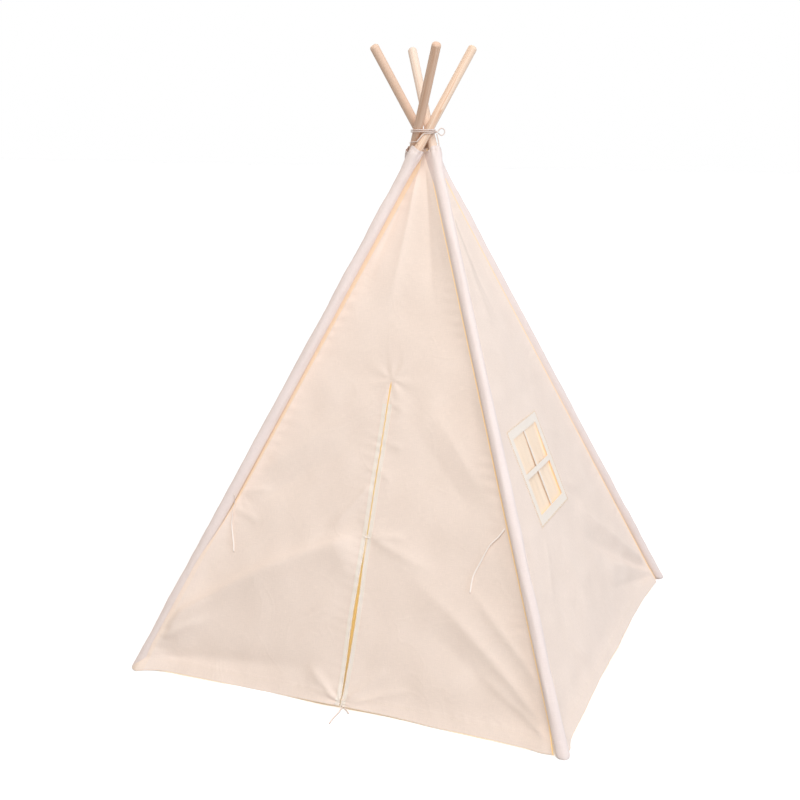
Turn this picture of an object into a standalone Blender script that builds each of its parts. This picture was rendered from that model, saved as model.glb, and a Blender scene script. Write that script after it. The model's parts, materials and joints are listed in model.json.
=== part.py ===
"""A kids' play teepee, modelled as the pieces that it comes apart into.

Four two-part wooden poles stand in sleeves at the corners of a canvas cover, cross near
their tops and are lashed there with cord. The front wall is slit up its middle and opens
as two flaps. The right wall has a window with a curtain inside it. The origin is on the
floor midway between the feet, +Z is up and the door faces -Y.
"""

import math

import bmesh
import bpy
from mathutils import Matrix, Vector

# Poles
base_width = 1.2  # between the pole axes, on the floor
crossing_height = 1.428
pole_length = 1.93
pole_diameter = 0.025
pole_gap = 0.0006  # between neighbouring poles where they cross
pole_lower_length = 0.98
pole_edge_round = 0.002
ferrule_length = 0.09
ferrule_wall = 0.001
ferrule_ease = 0.0004
pole_sides = 20
tube_sides = 24

# Corner sleeves
sleeve_wall = 0.0011
sleeve_ease = 0.0005
sleeve_floor = 0.0016
sleeve_mouth_drop = 0.05  # from the crossing down to the sleeve's mouth
sleeve_overrun = 0.03  # below the floor, where the foot is cut flat
seam_inset = 0.022  # from the pole's axis to the cover's corner seam, level
seam_half_thickness = 0.001
sleeve_round_points = 13
sleeve_rings = 15

# Canvas walls
wall_thickness = 0.0012
wall_edge_gap = 0.0019  # from the corner seam to the wall's edge, level
wall_top_half_width = 0.006
hem_clearance = 0.004  # up the slope
fold_height = 0.007
fold_edge_fade = 0.06
wall_columns = 12
wall_rows = 14

# Door
slit_offset = 0.011  # the slit is a little right of the middle
slit_top = 0.859  # up the slope from the floor
slit_tie_height = 0.437
slit_gap = 0.0036
slit_belly = 0.0035
flap_hem_width = 0.3
flap_fold_gap = 0.0006
facing_width = 0.012
facing_thickness = 0.0008
flap_columns = 5
flap_rows = 10
slit_tie_length = 0.018
slit_tie_width = 0.006
slit_tie_thickness = 0.0012

# Window
window_centre = -0.04  # along the wall, towards the back
window_width = 0.208
window_bottom = 0.466
window_top = 0.685
frame_width = 0.028
frame_thickness = 0.001
window_flat_margin = 0.11  # round the opening, where the wall has no folds
bar_thickness = 0.0008
cross_bar_width = 0.015
upright_bar_width = 0.007
curtain_overlap = 0.026
curtain_belly = 0.008
curtain_ripple = 0.0011
curtain_ripple_count = 5
curtain_columns = 20
curtain_rows = 7
dot_size = 0.016
dot_thickness = 0.001
dot_inset = 0.013

# Cords
lashing_diameter = 0.0036
lashing_ease = 0.0015
lashing_start_angle = -130.0
lashing_end_angle = 722.0
lashing_rise_angle = 50.0
lashing_lead = 0.024
lashing_low = 0.001
lashing_pitch = 0.0046
pole_fold = 24.2  # degrees that each pole turns through as the bundle closes
loop_points = 24
knot_radius = 0.0044
knot_height_share = 1.15
tie_diameter = 0.0036
tie_knot_radius = 0.0046
hem_knot_aside = 0.0065  # from the slit to the middle of the knot at its foot
route_spacing = 0.0085
bow_spacing = 0.005

touch_gap = 0.0003
cutter_overrun = 0.02

half_base = base_width / 2
pole_radius = pole_diameter / 2
pole_tilt = math.atan2(half_base * math.sqrt(2), crossing_height)
wall_tilt = math.atan2(half_base, crossing_height)
skew = math.sqrt(2 * math.cos(pole_tilt) ** 2 + math.sin(pole_tilt) ** 2)
crossing_offset = (pole_diameter + pole_gap) * skew / (2 * math.cos(pole_tilt))
seam_half = half_base - seam_inset / math.sqrt(2)
apex_height = crossing_height * seam_half / half_base
slope_length = apex_height / math.cos(wall_tilt)
panel_top = slope_length * (1 - wall_top_half_width / seam_half)
window_middle = (window_bottom + window_top) / 2
window_height = window_top - window_bottom
ferrule_bore = pole_radius + ferrule_ease
ferrule_radius = ferrule_bore + ferrule_wall
sleeve_bore = ferrule_radius + sleeve_ease
sleeve_radius = sleeve_bore + sleeve_wall

corner_names = ("front_left", "front_right", "back_right", "back_left")
foot = Vector((-half_base, -half_base, 0))
outward = Vector((-1, -1, 0)).normalized()
around = Vector((1, -1, 0)).normalized()
crossing = Vector((0, 0, crossing_height)) + around * crossing_offset
pole_axis = (crossing - foot).normalized()
foot_to_crossing = (crossing - foot).length
sleeve_mouth = foot_to_crossing - sleeve_mouth_drop
bore_start = (sleeve_floor + sleeve_bore * math.sin(pole_tilt)) / math.cos(pole_tilt)
pole_start = bore_start + touch_gap
pole_joint = pole_start + pole_lower_length
apex = Vector((0, 0, apex_height))
foot_seam = Vector((-seam_half, -seam_half, 0))

for thing in list(bpy.data.objects):
    bpy.data.objects.remove(thing, do_unlink=True)
parts = bpy.data.collections.new("kids_teepee")
cutters = bpy.data.collections.new("cutters")
bpy.context.scene.collection.children.link(parts)
bpy.context.scene.collection.children.link(cutters)


def finish(name, colour, roughness, metallic=0.0):
    """A plain Principled material."""
    made = bpy.data.materials.new(name)
    made.use_nodes = True
    shader = made.node_tree.nodes["Principled BSDF"]
    shader.inputs["Base Color"].default_value = (*colour, 1)
    shader.inputs["Roughness"].default_value = roughness
    shader.inputs["Metallic"].default_value = metallic
    return made


wood = finish("pale_pine", (0.72, 0.52, 0.33), 0.55)
steel = finish("brushed_steel", (0.6, 0.6, 0.6), 0.35, 1.0)
canvas = finish("cream_canvas", (0.86, 0.76, 0.67), 0.9)
trim = finish("trim_tape", (0.88, 0.80, 0.71), 0.85)
cotton_cord = finish("cotton_cord", (0.80, 0.73, 0.68), 0.9)
lining = finish("curtain_cotton", (0.87, 0.72, 0.50), 0.9)
fastener = finish("fastener_tape", (0.84, 0.80, 0.74), 0.8)


def place(name, mesh, material, pivot, turn=0):
    """Puts a mesh made about the world's origin on its pivot, turned by quarter turns."""
    mesh.materials.clear()
    mesh.materials.append(material)
    placed = bpy.data.objects.new(name, mesh)
    quarter = Matrix.Rotation(turn * math.pi / 2, 3, "Z")
    placed.location = quarter @ pivot
    placed.rotation_euler = (0, 0, turn * math.pi / 2)
    parts.objects.link(placed)
    return placed


def mesh_of(bm, name, pivot):
    """The bmesh as a mesh whose points are measured from the pivot."""
    bmesh.ops.translate(bm, verts=bm.verts, vec=-pivot)
    mesh = bpy.data.meshes.new(name)
    bm.to_mesh(mesh)
    bm.free()
    return mesh


def along(distance):
    """A point on the front left pole's axis, measured from the floor."""
    return foot + pole_axis * distance


def rod(start, end, radius, sides, capped=True):
    """A cylinder along the front left pole's axis."""
    bm = bmesh.new()
    bmesh.ops.create_cone(
        bm, cap_ends=capped, segments=sides, radius1=radius, radius2=radius, depth=end - start
    )
    upright = pole_axis.to_track_quat("Z", "Y").to_matrix().to_4x4()
    middle = Matrix.Translation(along((start + end) / 2))
    bmesh.ops.transform(bm, verts=bm.verts, matrix=middle @ upright)
    return bm


def round_edges(obj, width, segments=1):
    bevel = obj.modifiers.new("rounded_edges", "BEVEL")
    bevel.width = width
    bevel.segments = segments
    bevel.limit_method = "ANGLE"
    bevel.angle_limit = math.radians(60)


def thicken(obj, thickness, side):
    """Gives an open sheet its thickness, side 1 along its normals and -1 against them."""
    shell = obj.modifiers.new("thickness", "SOLIDIFY")
    shell.thickness = thickness
    shell.offset = side


def smooth_round(mesh):
    mesh.shade_smooth()
    mesh.set_sharp_from_angle(angle=math.radians(40))


def baked(obj, name):
    """The object with its modifiers applied, as a mesh about the same origin."""
    bpy.context.view_layer.update()
    graph = bpy.context.evaluated_depsgraph_get()
    mesh = bpy.data.meshes.new_from_object(obj.evaluated_get(graph))
    mesh.name = name
    bpy.data.objects.remove(obj, do_unlink=True)
    return mesh


def cut(obj, cutter):
    cutter.hide_render = True
    cutter.display_type = "WIRE"
    boolean = obj.modifiers.new("cut", "BOOLEAN")
    boolean.operation = "DIFFERENCE"
    boolean.object = cutter


def as_cutter(bm, name, location=Vector((0, 0, 0)), turn=0):
    mesh = bpy.data.meshes.new(name)
    bm.to_mesh(mesh)
    bm.free()
    cutter = bpy.data.objects.new(name, mesh)
    cutter.location = location
    cutter.rotation_euler = (0, 0, turn * math.pi / 2)
    cutters.objects.link(cutter)
    return cutter


# Poles, each of two turned lengths that meet inside a steel ferrule
def pole_pieces():
    lower = mesh_of(rod(pole_start, pole_joint, pole_radius, pole_sides), "pole_lower", crossing)
    upper_start = pole_joint + touch_gap
    upper = mesh_of(rod(upper_start, pole_length, pole_radius, pole_sides), "pole_upper", crossing)
    half = ferrule_length / 2
    band = rod(pole_joint - half, pole_joint + half, ferrule_radius, tube_sides, capped=False)
    ferrule = mesh_of(band, "pole_ferrule", crossing)
    for mesh in (lower, upper, ferrule):
        smooth_round(mesh)
    for turn, corner in enumerate(corner_names):
        for part, mesh in (("lower", lower), ("upper", upper)):
            round_edges(place(f"pole_{corner}_{part}", mesh, wood, crossing, turn), pole_edge_round)
        tube = place(f"pole_{corner}_ferrule", ferrule, steel, crossing, turn)
        thicken(tube, ferrule_wall, -1)


pole_pieces()


# Sleeves: a round of canvas about the pole, drawn in to the corner seam
def seam_point(distance):
    """Where the corner seam passes the section square to the pole at this distance."""
    run = apex - foot_seam
    centre = along(distance)
    share = (centre - foot_seam).dot(pole_axis) / run.dot(pole_axis)
    return foot_seam + run * share


def sleeve_ring(distance):
    centre = along(distance)
    to_seam = seam_point(distance) - centre
    reach = to_seam.length
    inward = to_seam.normalized()
    side = pole_axis.cross(inward)
    tangent = math.acos(sleeve_radius / reach)
    points = []
    for step in range(sleeve_round_points):
        turn = tangent + (2 * math.pi - 2 * tangent) * step / (sleeve_round_points - 1)
        points.append(centre + (inward * math.cos(turn) + side * math.sin(turn)) * sleeve_radius)
    for flank in (-1, 1):
        points.append(centre + inward * reach + side * flank * seam_half_thickness)
    return points


def sleeve_mesh():
    bm = bmesh.new()
    rings = []
    span = sleeve_mouth + sleeve_overrun
    for step in range(sleeve_rings):
        ring = sleeve_ring(-sleeve_overrun + span * step / (sleeve_rings - 1))
        rings.append([bm.verts.new(point) for point in ring])
    for below, above in zip(rings, rings[1:]):
        count = len(below)
        for i in range(count):
            j = (i + 1) % count
            bm.faces.new((below[i], below[j], above[j], above[i]))
    bm.faces.new(rings[0])
    bm.faces.new(rings[-1])
    bmesh.ops.recalc_face_normals(bm, faces=bm.faces)
    shell = bpy.data.objects.new("sleeve_blank", mesh_of(bm, "sleeve_blank", Vector((0, 0, 0))))
    parts.objects.link(shell)
    bore = rod(bore_start, sleeve_mouth + cutter_overrun, sleeve_bore, tube_sides)
    cut(shell, as_cutter(bore, "sleeve_bore"))
    below_floor = bmesh.new()
    depth = 2 * sleeve_overrun
    bmesh.ops.create_cube(below_floor, size=1)
    bmesh.ops.scale(below_floor, verts=below_floor.verts, vec=(base_width, base_width, depth))
    bmesh.ops.translate(below_floor, verts=below_floor.verts, vec=foot - Vector((0, 0, depth / 2)))
    cut(shell, as_cutter(below_floor, "floor_cut"))
    mesh = baked(shell, "corner_sleeve")
    mesh.transform(Matrix.Translation(-crossing))
    smooth_round(mesh)
    return mesh


sleeve = sleeve_mesh()
for turn, corner in enumerate(corner_names):
    place(f"sleeve_{corner}", sleeve, canvas, crossing, turn)


# Canvas walls. A place on a wall is u across it, v up its slope and w out of it. They are
# all described as the front wall and turned by quarter turns.
def wall_point(u, v, w=0.0):
    tilt_sin = math.sin(wall_tilt)
    tilt_cos = math.cos(wall_tilt)
    return Vector((u, -seam_half + v * tilt_sin - w * tilt_cos, v * tilt_cos + w * tilt_sin))


def half_width(v):
    return seam_half * (1 - v / slope_length) - wall_edge_gap


# Main folds of each wall, as ridges: u and v of both ends and the width, as shares of the
# half base and of the slope, and the height as a share of fold_height
front_fold_shares = (
    (-0.02, 0.95, -0.10, 0.60, 0.040, 0.55),
    (-0.80, 0.03, -0.45, 0.20, 0.050, 0.90),
    (-0.85, 0.06, -0.62, 0.26, 0.030, -0.60),
    (0.86, 0.05, 0.52, 0.24, 0.050, 0.70),
    (0.10, 0.56, 0.28, 0.42, 0.040, -0.50),
    (-0.10, 0.56, -0.30, 0.40, 0.045, -0.60),
)
right_fold_shares = (
    (0.00, 0.95, 0.05, 0.62, 0.050, 0.60),
    (-0.85, 0.04, -0.45, 0.18, 0.060, 0.80),
    (0.85, 0.04, 0.50, 0.22, 0.060, 0.80),
    (0.10, 0.20, 0.02, 0.03, 0.060, -0.50),
)
back_fold_shares = (
    (0.02, 0.93, 0.10, 0.50, 0.050, 0.70),
    (-0.85, 0.04, -0.35, 0.30, 0.060, 0.90),
    (0.85, 0.04, 0.40, 0.26, 0.050, 0.90),
    (0.00, 0.30, -0.05, 0.04, 0.080, -0.80),
    (0.30, 0.24, 0.36, 0.04, 0.060, 0.60),
)
left_fold_shares = (
    (-0.02, 0.93, -0.12, 0.55, 0.050, 0.60),
    (-0.85, 0.04, -0.45, 0.26, 0.050, 0.90),
    (0.85, 0.04, 0.35, 0.28, 0.060, 0.90),
    (0.05, 0.40, 0.10, 0.05, 0.080, -0.80),
)


def ease(share):
    share = min(max(share, 0.0), 1.0)
    return share * share * (3 - 2 * share)


def fold_lift(folds, u, v):
    """How far the cloth stands out of the wall's plane, fading out at the seams."""
    lift = 0.0
    for u0, v0, u1, v1, width, height in folds:
        start = Vector((u0 * seam_half, v0 * slope_length))
        run = Vector((u1 * seam_half, v1 * slope_length)) - start
        here = Vector((u, v)) - start
        share = min(max(here.dot(run) / run.length_squared, 0.0), 1.0)
        off = (here - run * share).length / (width * slope_length)
        lift += height * fold_height * math.exp(-off * off)
    return lift * ease((half_width(v) - abs(u)) / fold_edge_fade)


def add_cloth(bm, columns, rows, spot):
    """Adds a grid whose points lie where spot says for a share across and a share up."""
    grid = bmesh.ops.create_grid(bm, x_segments=columns, y_segments=rows, size=0.5)
    for vert in grid["verts"]:
        vert.co = spot(vert.co.x + 0.5, vert.co.y + 0.5)


def between(low, high, share):
    return low + (high - low) * share


def flap_fold(v):
    """From the slit's middle to the line that a door flap folds back on."""
    return flap_hem_width * max(0.0, 1 - v / slit_top)


def slit_half(v):
    belly = slit_belly * math.sin(math.pi * v / slit_tie_height) ** 2 if v < slit_tie_height else 0.0
    return slit_gap / 2 + belly


def front_lift(u, v):
    """The front wall's folds, flat along the slit and along the flaps' fold lines."""
    from_slit = abs(u - slit_offset)
    on_flap = from_slit < flap_fold(v)
    line = abs(from_slit - flap_fold(v)) / fold_edge_fade
    keep = ease(line) if v < slit_top else ease((v - slit_top) / fold_edge_fade)
    return 0.0 if on_flap else fold_lift(front_fold_shares, u, v) * keep


def row_height(share):
    return between(hem_clearance, panel_top, share)


def beyond_window(u, v):
    """0 where the cloth lies flat round the window, rising to 1 away from it."""
    aside = abs(u - window_centre) - window_width / 2 - window_flat_margin
    beyond = abs(v - window_middle) - window_height / 2 - window_flat_margin
    return ease(max(aside, beyond) / fold_edge_fade)


def full_wall(folds, bm, keep=None):
    """A whole wall, its folds held back where keep says."""

    def spot(across, up):
        v = row_height(up)
        u = between(-half_width(v), half_width(v), across)
        lift = fold_lift(folds, u, v)
        return wall_point(u, v, lift * keep(u, v) if keep else lift)

    add_cloth(bm, wall_columns, wall_rows, spot)


def front_wall_half(side, bm, rows, low, high):
    """One side of the front wall, between two heights, up to the fold line or the middle."""

    def spot(across, up):
        v = between(low, high, up)
        inner = flap_fold(v) + flap_fold_gap / 2 if v < high and high <= slit_top else 0.0
        above = max(0.0, (v - slit_top) / (panel_top - slit_top))
        ends = (slit_offset * (1 - above) + side * inner, side * half_width(v))
        u = between(min(ends), max(ends), across)
        return wall_point(u, v, front_lift(u, v))

    add_cloth(bm, wall_columns // 2, rows, spot)


def cloth_object(name, bm, material, pivot, thickness, side, turn=0):
    mesh = mesh_of(bm, name, pivot)
    mesh.shade_smooth()
    made = place(name, mesh, material, pivot, turn)
    thicken(made, thickness, side)
    return made


def front_wall():
    bm = bmesh.new()
    rows_below = round(wall_rows * slit_top / panel_top)
    for side in (-1, 1):
        front_wall_half(side, bm, rows_below, hem_clearance, slit_top)
        front_wall_half(side, bm, wall_rows - rows_below, slit_top, panel_top)
    bmesh.ops.remove_doubles(bm, verts=bm.verts, dist=flap_fold_gap / 10)
    cloth_object("front_wall", bm, canvas, apex, wall_thickness, -1)


def plain_wall(name, folds, turn, keep=None):
    bm = bmesh.new()
    full_wall(folds, bm, keep)
    return cloth_object(name, bm, canvas, apex, wall_thickness, -1, turn)


front_wall()
right_wall = plain_wall("right_wall", right_fold_shares, 1, beyond_window)
plain_wall("back_wall", back_fold_shares, 2)
plain_wall("left_wall", left_fold_shares, 3)


# Door flaps, folded back on a line from the slit's top, with a facing along the slit
flap_top = slit_top * (1 - (slit_gap + 2 * facing_width / 3) / flap_hem_width)
slit_point = wall_point(slit_offset, slit_top)


def slit_strip(bm, side, columns, near, far, w, top):
    """Cloth beside the slit, from one distance off its middle to another."""

    def spot(across, up):
        v = between(hem_clearance, top, up)
        ends = (slit_offset + side * near(v), slit_offset + side * far(v))
        return wall_point(between(min(ends), max(ends), across), v, w)

    add_cloth(bm, columns, flap_rows, spot)


for side, name in ((-1, "left"), (1, "right")):
    sheet = bmesh.new()
    slit_strip(
        sheet, side, flap_columns, slit_half, lambda v: flap_fold(v) - flap_fold_gap / 2, 0.0, flap_top
    )
    cloth_object(f"door_flap_{name}", sheet, canvas, slit_point, wall_thickness, -1)
    sheet = bmesh.new()
    facing_top = flap_top * (1 - facing_width / flap_hem_width)
    slit_strip(sheet, side, 1, slit_half, lambda v: slit_half(v) + facing_width, touch_gap, facing_top)
    cloth_object(f"slit_facing_{name}", sheet, trim, slit_point, facing_thickness, 1)


def flat_patch(name, u, v, w, width, height, thickness, material, pivot, turn=0):
    """A small rectangle of tape, lying on a wall's plane, its near face w out of it."""
    bm = bmesh.new()
    bmesh.ops.create_cube(bm, size=1)
    for vert in bm.verts:
        place_u = u + vert.co.x * width
        place_v = v + vert.co.z * height
        vert.co = wall_point(place_u, place_v, w + (0.5 - vert.co.y) * thickness)
    return place(name, mesh_of(bm, name, pivot), material, pivot, turn)


facing_front = touch_gap + facing_thickness
flat_patch(
    "slit_tie", slit_offset, slit_tie_height, facing_front + touch_gap, slit_tie_length,
    slit_tie_width, slit_tie_thickness, trim, slit_point,
)


# Window in the right wall: an opening, its frame, two bars and a curtain inside
window_left = window_centre - window_width / 2
window_right = window_centre + window_width / 2


def wall_box(u0, u1, v0, v1, w0, w1):
    """A bmesh box in a wall's own directions."""
    bm = bmesh.new()
    bmesh.ops.create_cube(bm, size=1)
    for vert in bm.verts:
        u = between(u0, u1, vert.co.x + 0.5)
        v = between(v0, v1, vert.co.z + 0.5)
        vert.co = wall_point(u, v, between(w0, w1, 0.5 - vert.co.y))
    return bm


opening = wall_box(
    window_left, window_right, window_bottom, window_top, -cutter_overrun, cutter_overrun
)
cut(right_wall, as_cutter(opening, "window_opening", turn=1))

surround = wall_box(
    window_left - frame_width, window_right + frame_width, window_bottom - frame_width,
    window_top + frame_width, touch_gap, touch_gap + frame_thickness,
)
frame = place("window_frame", mesh_of(surround, "window_frame", apex), trim, apex, 1)
frame_hole = wall_box(
    window_left, window_right, window_bottom, window_top, -cutter_overrun, cutter_overrun
)
cut(frame, as_cutter(frame_hole, "frame_opening", turn=1))

flat_patch(
    "window_bar_across", window_centre, window_middle, touch_gap, window_width - 2 * touch_gap,
    cross_bar_width, bar_thickness, trim, apex, 1,
)
flat_patch(
    "window_bar_upright", window_centre, window_middle, -touch_gap - bar_thickness,
    upright_bar_width, window_height - 2 * touch_gap, bar_thickness, trim, apex, 1,
)

# The curtain is sewn inside the wall above the opening and fastens at its lower corners
curtain_top = window_top + curtain_overlap
curtain_bottom = window_bottom - curtain_overlap
curtain_half = window_width / 2 + curtain_overlap
curtain_back = wall_thickness + touch_gap
dots_depth = 2 * (dot_thickness + touch_gap)
curtain_pivot = wall_point(0, curtain_top, -curtain_back)


def curtain_depth(u, v):
    """How far behind the wall's outer face the curtain hangs."""
    down = (curtain_top - v) / (curtain_top - curtain_bottom)
    belly = curtain_belly * math.sin(math.pi * down)
    wave = math.cos(2 * math.pi * curtain_ripple_count * (u - window_centre) / window_width)
    return curtain_back + dots_depth * down + belly + curtain_ripple * math.sin(math.pi * down) * wave


def curtain():
    bm = bmesh.new()

    def spot(across, up):
        u = window_centre + (2 * across - 1) * curtain_half
        v = between(curtain_bottom, curtain_top, up)
        return wall_point(u, v, -curtain_depth(u, v))

    add_cloth(bm, curtain_columns, curtain_rows, spot)
    cloth_object("window_curtain", bm, lining, curtain_pivot, wall_thickness, -1, 1)


curtain()
dot_v = curtain_bottom + dot_inset
for side, name in ((-1, "left"), (1, "right")):
    dot_u = window_centre + side * (curtain_half - dot_inset)
    front = -curtain_back - dot_thickness
    flat_patch(
        f"curtain_fastener_{name}_wall", dot_u, dot_v, front, dot_size, dot_size,
        dot_thickness, fastener, apex, 1,
    )
    flat_patch(
        f"curtain_fastener_{name}_curtain", dot_u, dot_v, front - touch_gap - dot_thickness,
        dot_size, dot_size, dot_thickness, fastener, curtain_pivot, 1,
    )


# Cords
def smooth_route(points, spacing):
    """Evenly spaced points on one smooth curve through the route's own points."""
    points = [Vector(point) for point in points]
    ends = [2 * points[0] - points[1], *points, 2 * points[-1] - points[-2]]
    steps = 24
    dense = []
    for a, b, c, d in zip(ends, ends[1:], ends[2:], ends[3:]):
        for step in range(steps):
            t = step / steps
            bend = (2 * a - 5 * b + 4 * c - d) * t**2 + (3 * b - a - 3 * c + d) * t**3
            dense.append((2 * b + (c - a) * t + bend) / 2)
    dense.append(points[-1])
    lengths = [0.0]
    for a, b in zip(dense, dense[1:]):
        lengths.append(lengths[-1] + (b - a).length)
    count = max(3, round(lengths[-1] / spacing))
    even = []
    for i in range(count + 1):
        wanted = lengths[-1] * i / count
        j = min(range(len(lengths)), key=lambda k: abs(lengths[k] - wanted))
        even.append(dense[j])
    return even, lengths[-1]


def cord(name, points, diameter, material, pivot, resolution=2):
    """A tube along the points, as a curve object with its origin on the pivot."""
    curve = bpy.data.curves.new(name, "CURVE")
    curve.dimensions = "3D"
    curve.bevel_depth = diameter / 2
    curve.bevel_resolution = resolution
    curve.use_fill_caps = True
    spline = curve.splines.new("POLY")
    spline.points.add(len(points) - 1)
    for slot, point in zip(spline.points, points):
        slot.co = (*(point - pivot), 1)
        slot.radius = 1
    curve.materials.append(material)
    tube = bpy.data.objects.new(name, curve)
    tube.location = pivot
    parts.objects.link(tube)
    return tube


def routed_cord(name, route, diameter, pivot, spacing=route_spacing):
    points, length = smooth_route(route, spacing)
    print(name, "is", round(length, 3), "m long")
    return cord(name, points, diameter, cotton_cord, pivot)


hub = Vector((0, 0, crossing_height))
lashing_radius = lashing_diameter / 2


def bundle_edge(angle, height):
    """Where a cord's middle clears the four poles, open or closed, in the direction of angle."""
    facing = Vector((math.cos(angle), math.sin(angle), 0))
    best = None
    for tilt in (pole_tilt, pole_tilt - math.radians(pole_fold)):
        for turn in range(4):
            quarter = Matrix.Rotation(turn * math.pi / 2, 3, "Z")
            lean = quarter @ outward
            side = quarter @ around
            middle = side * crossing_offset - lean * height * math.tan(tilt)
            long_part = facing.dot(lean) * pole_radius / math.cos(tilt)
            short_part = facing.dot(side) * pole_radius
            reach = math.hypot(long_part, short_part)
            if best is None or middle.dot(facing) + reach > best[0]:
                touch = lean * long_part * pole_radius / math.cos(tilt) + side * short_part * pole_radius
                best = (middle.dot(facing) + reach, middle + touch / reach)
    edge = best[1] + facing * (lashing_radius + lashing_ease)
    return hub + edge + Vector((0, 0, height))


def lashing_height(angle):
    """Climbs steeply at first, from below the crossing, and then by one pitch each turn."""
    turned = angle - lashing_start_angle
    climb = lashing_lead * (1 - ease(turned / lashing_rise_angle))
    return lashing_low - climb + lashing_pitch * turned / 360


def lashing_wraps():
    turns = (lashing_end_angle - lashing_start_angle) / 360
    count = round(turns * loop_points)
    points = []
    for i in range(count + 1):
        angle = between(lashing_start_angle, lashing_end_angle, i / count)
        points.append(bundle_edge(math.radians(angle), lashing_height(angle)))
    least = min(
        (points[i] - points[j]).length
        for i in range(len(points))
        for j in range(i + loop_points // 2, len(points))
    )
    run = sum((b - a).length for a, b in zip(points, points[1:]))
    print("lashing: least gap to itself", round(1000 * (least - lashing_diameter), 2), "mm")
    print("lashing:", round(turns, 2), "turns,", round(run, 3), "m long")
    cord("lashing_wraps", points, lashing_diameter, cotton_cord, hub, 1)


lashing_wraps()


def knot(name, centre, radius, pivot):
    """A small rounded lump where cord is tied."""
    bm = bmesh.new()
    bmesh.ops.create_uvsphere(bm, u_segments=14, v_segments=9, radius=radius)
    bmesh.ops.scale(bm, verts=bm.verts, vec=(1, 1, knot_height_share))
    bmesh.ops.translate(bm, verts=bm.verts, vec=centre)
    mesh = mesh_of(bm, name, pivot)
    mesh.shade_smooth()
    place(name, mesh, cotton_cord, pivot)


last_wrap = bundle_edge(0, lashing_height(lashing_end_angle - 360))
knot_centre = last_wrap + Vector((lashing_radius + knot_radius + touch_gap, 0.002, -0.002))
knot("lashing_knot", knot_centre, knot_radius, hub)

bow_route = (
    (0.0052, 0.0008, 0.0024), (0.0090, 0.0040, 0.0080), (0.0140, 0.0085, 0.0095),
    (0.0190, 0.0120, 0.0045), (0.0190, 0.0120, -0.0030), (0.0140, 0.0080, -0.0090),
    (0.0090, 0.0040, -0.0075), (0.0052, 0.0008, -0.0024),
)
tail_route = (
    (0.0008, 0.0006, -0.0056), (0.0030, 0.0004, -0.0120), (0.0068, -0.0006, -0.0260),
    (0.0098, -0.0022, -0.0410), (0.0140, -0.0040, -0.0560), (0.0170, -0.0050, -0.0640),
)
routed_cord(
    "lashing_bow_loop", [knot_centre + Vector(p) for p in bow_route], lashing_diameter, hub, bow_spacing
)
routed_cord("lashing_tail", [knot_centre + Vector(p) for p in tail_route], lashing_diameter, hub)

# Ties that hold the door open, sewn into the corner seams and hanging on the front wall,
# as u, v and w of the wall
door_tie_left_route = (
    (-0.3840, 0.4980, 0.0022), (-0.3885, 0.4740, 0.0028), (-0.3900, 0.4510, 0.0030),
    (-0.3890, 0.4200, 0.0030), (-0.3810, 0.3880, 0.0028), (-0.3740, 0.3640, 0.0028),
    (-0.3710, 0.3460, 0.0028),
)
door_tie_right_route = (
    (0.3805, 0.5085, 0.0022), (0.3670, 0.4870, 0.0032), (0.3480, 0.4640, 0.0032),
    (0.3370, 0.4400, 0.0030), (0.3280, 0.4160, 0.0028), (0.3180, 0.3920, 0.0028),
    (0.3130, 0.3710, 0.0028), (0.3120, 0.3380, 0.0028),
)
for name, route in (("left", door_tie_left_route), ("right", door_tie_right_route)):
    hung = [wall_point(u, v, w + max(0.0, front_lift(u, v))) for u, v, w in route]
    routed_cord(f"door_tie_{name}", hung, tie_diameter, apex)

# The tie at the foot of the slit: a knot against the facings, and two tails that leave it
# and lie on the floor, as places from the knot's middle
knot_off_wall = facing_front + touch_gap + tie_knot_radius * knot_height_share
hem_knot_centre = wall_point(slit_offset + hem_knot_aside, hem_clearance, knot_off_wall)
knot("hem_tie_knot", hem_knot_centre, tie_knot_radius, slit_point)
hem_tail_long_route = (
    (0.0003, -0.0045, -0.0022), (0.0006, -0.0085, -0.0038), (0.0014, -0.0150, -0.0042),
    (0.0026, -0.0300, -0.0042), (0.0026, -0.0500, -0.0042), (0.0034, -0.0700, -0.0042),
    (0.0058, -0.0885, -0.0042),
)
hem_tail_short_route = (
    (0.0043, -0.0020, -0.0018), (0.0080, -0.0040, -0.0035), (0.0150, -0.0100, -0.0042),
    (0.0285, -0.0237, -0.0042),
)
for name, route in (("long", hem_tail_long_route), ("short", hem_tail_short_route)):
    laid = [hem_knot_centre + Vector(point) for point in route]
    routed_cord(f"hem_tie_tail_{name}", laid, tie_diameter, slit_point)

# Places and directions that the joints use, in world metres
for turn, corner in enumerate(corner_names):
    quarter = Matrix.Rotation(turn * math.pi / 2, 3, "Z")
    print(corner, "pole turns at", tuple(quarter @ crossing), "about", tuple(quarter @ around))
print("the walls turn at", tuple(apex))
for side, name in ((-1, "left"), (1, "right")):
    hem_end = wall_point(slit_offset + side * flap_hem_width, 0)
    fold_line = (slit_point - hem_end).normalized()
    print("door flap", name, "turns at", tuple(slit_point), "about", tuple(fold_line))
print("the foot knot is at", tuple(hem_knot_centre))
print("the curtain turns at", tuple(Matrix.Rotation(math.pi / 2, 3, "Z") @ curtain_pivot))
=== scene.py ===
# %% [markdown]
# # A kids' play teepee
# The tent is four wooden dowels in a sewn cotton cover. Its pieces that work, such as the
# poles and the lines that the cloth folds on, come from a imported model. This lesson makes
# the looks on top of it: cloth that is pulled and creased, sewn edges, turned wood and cord.

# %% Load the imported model
import json
import math

import bmesh
import bpy
import numpy as np
from mathutils import Matrix, Vector


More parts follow.
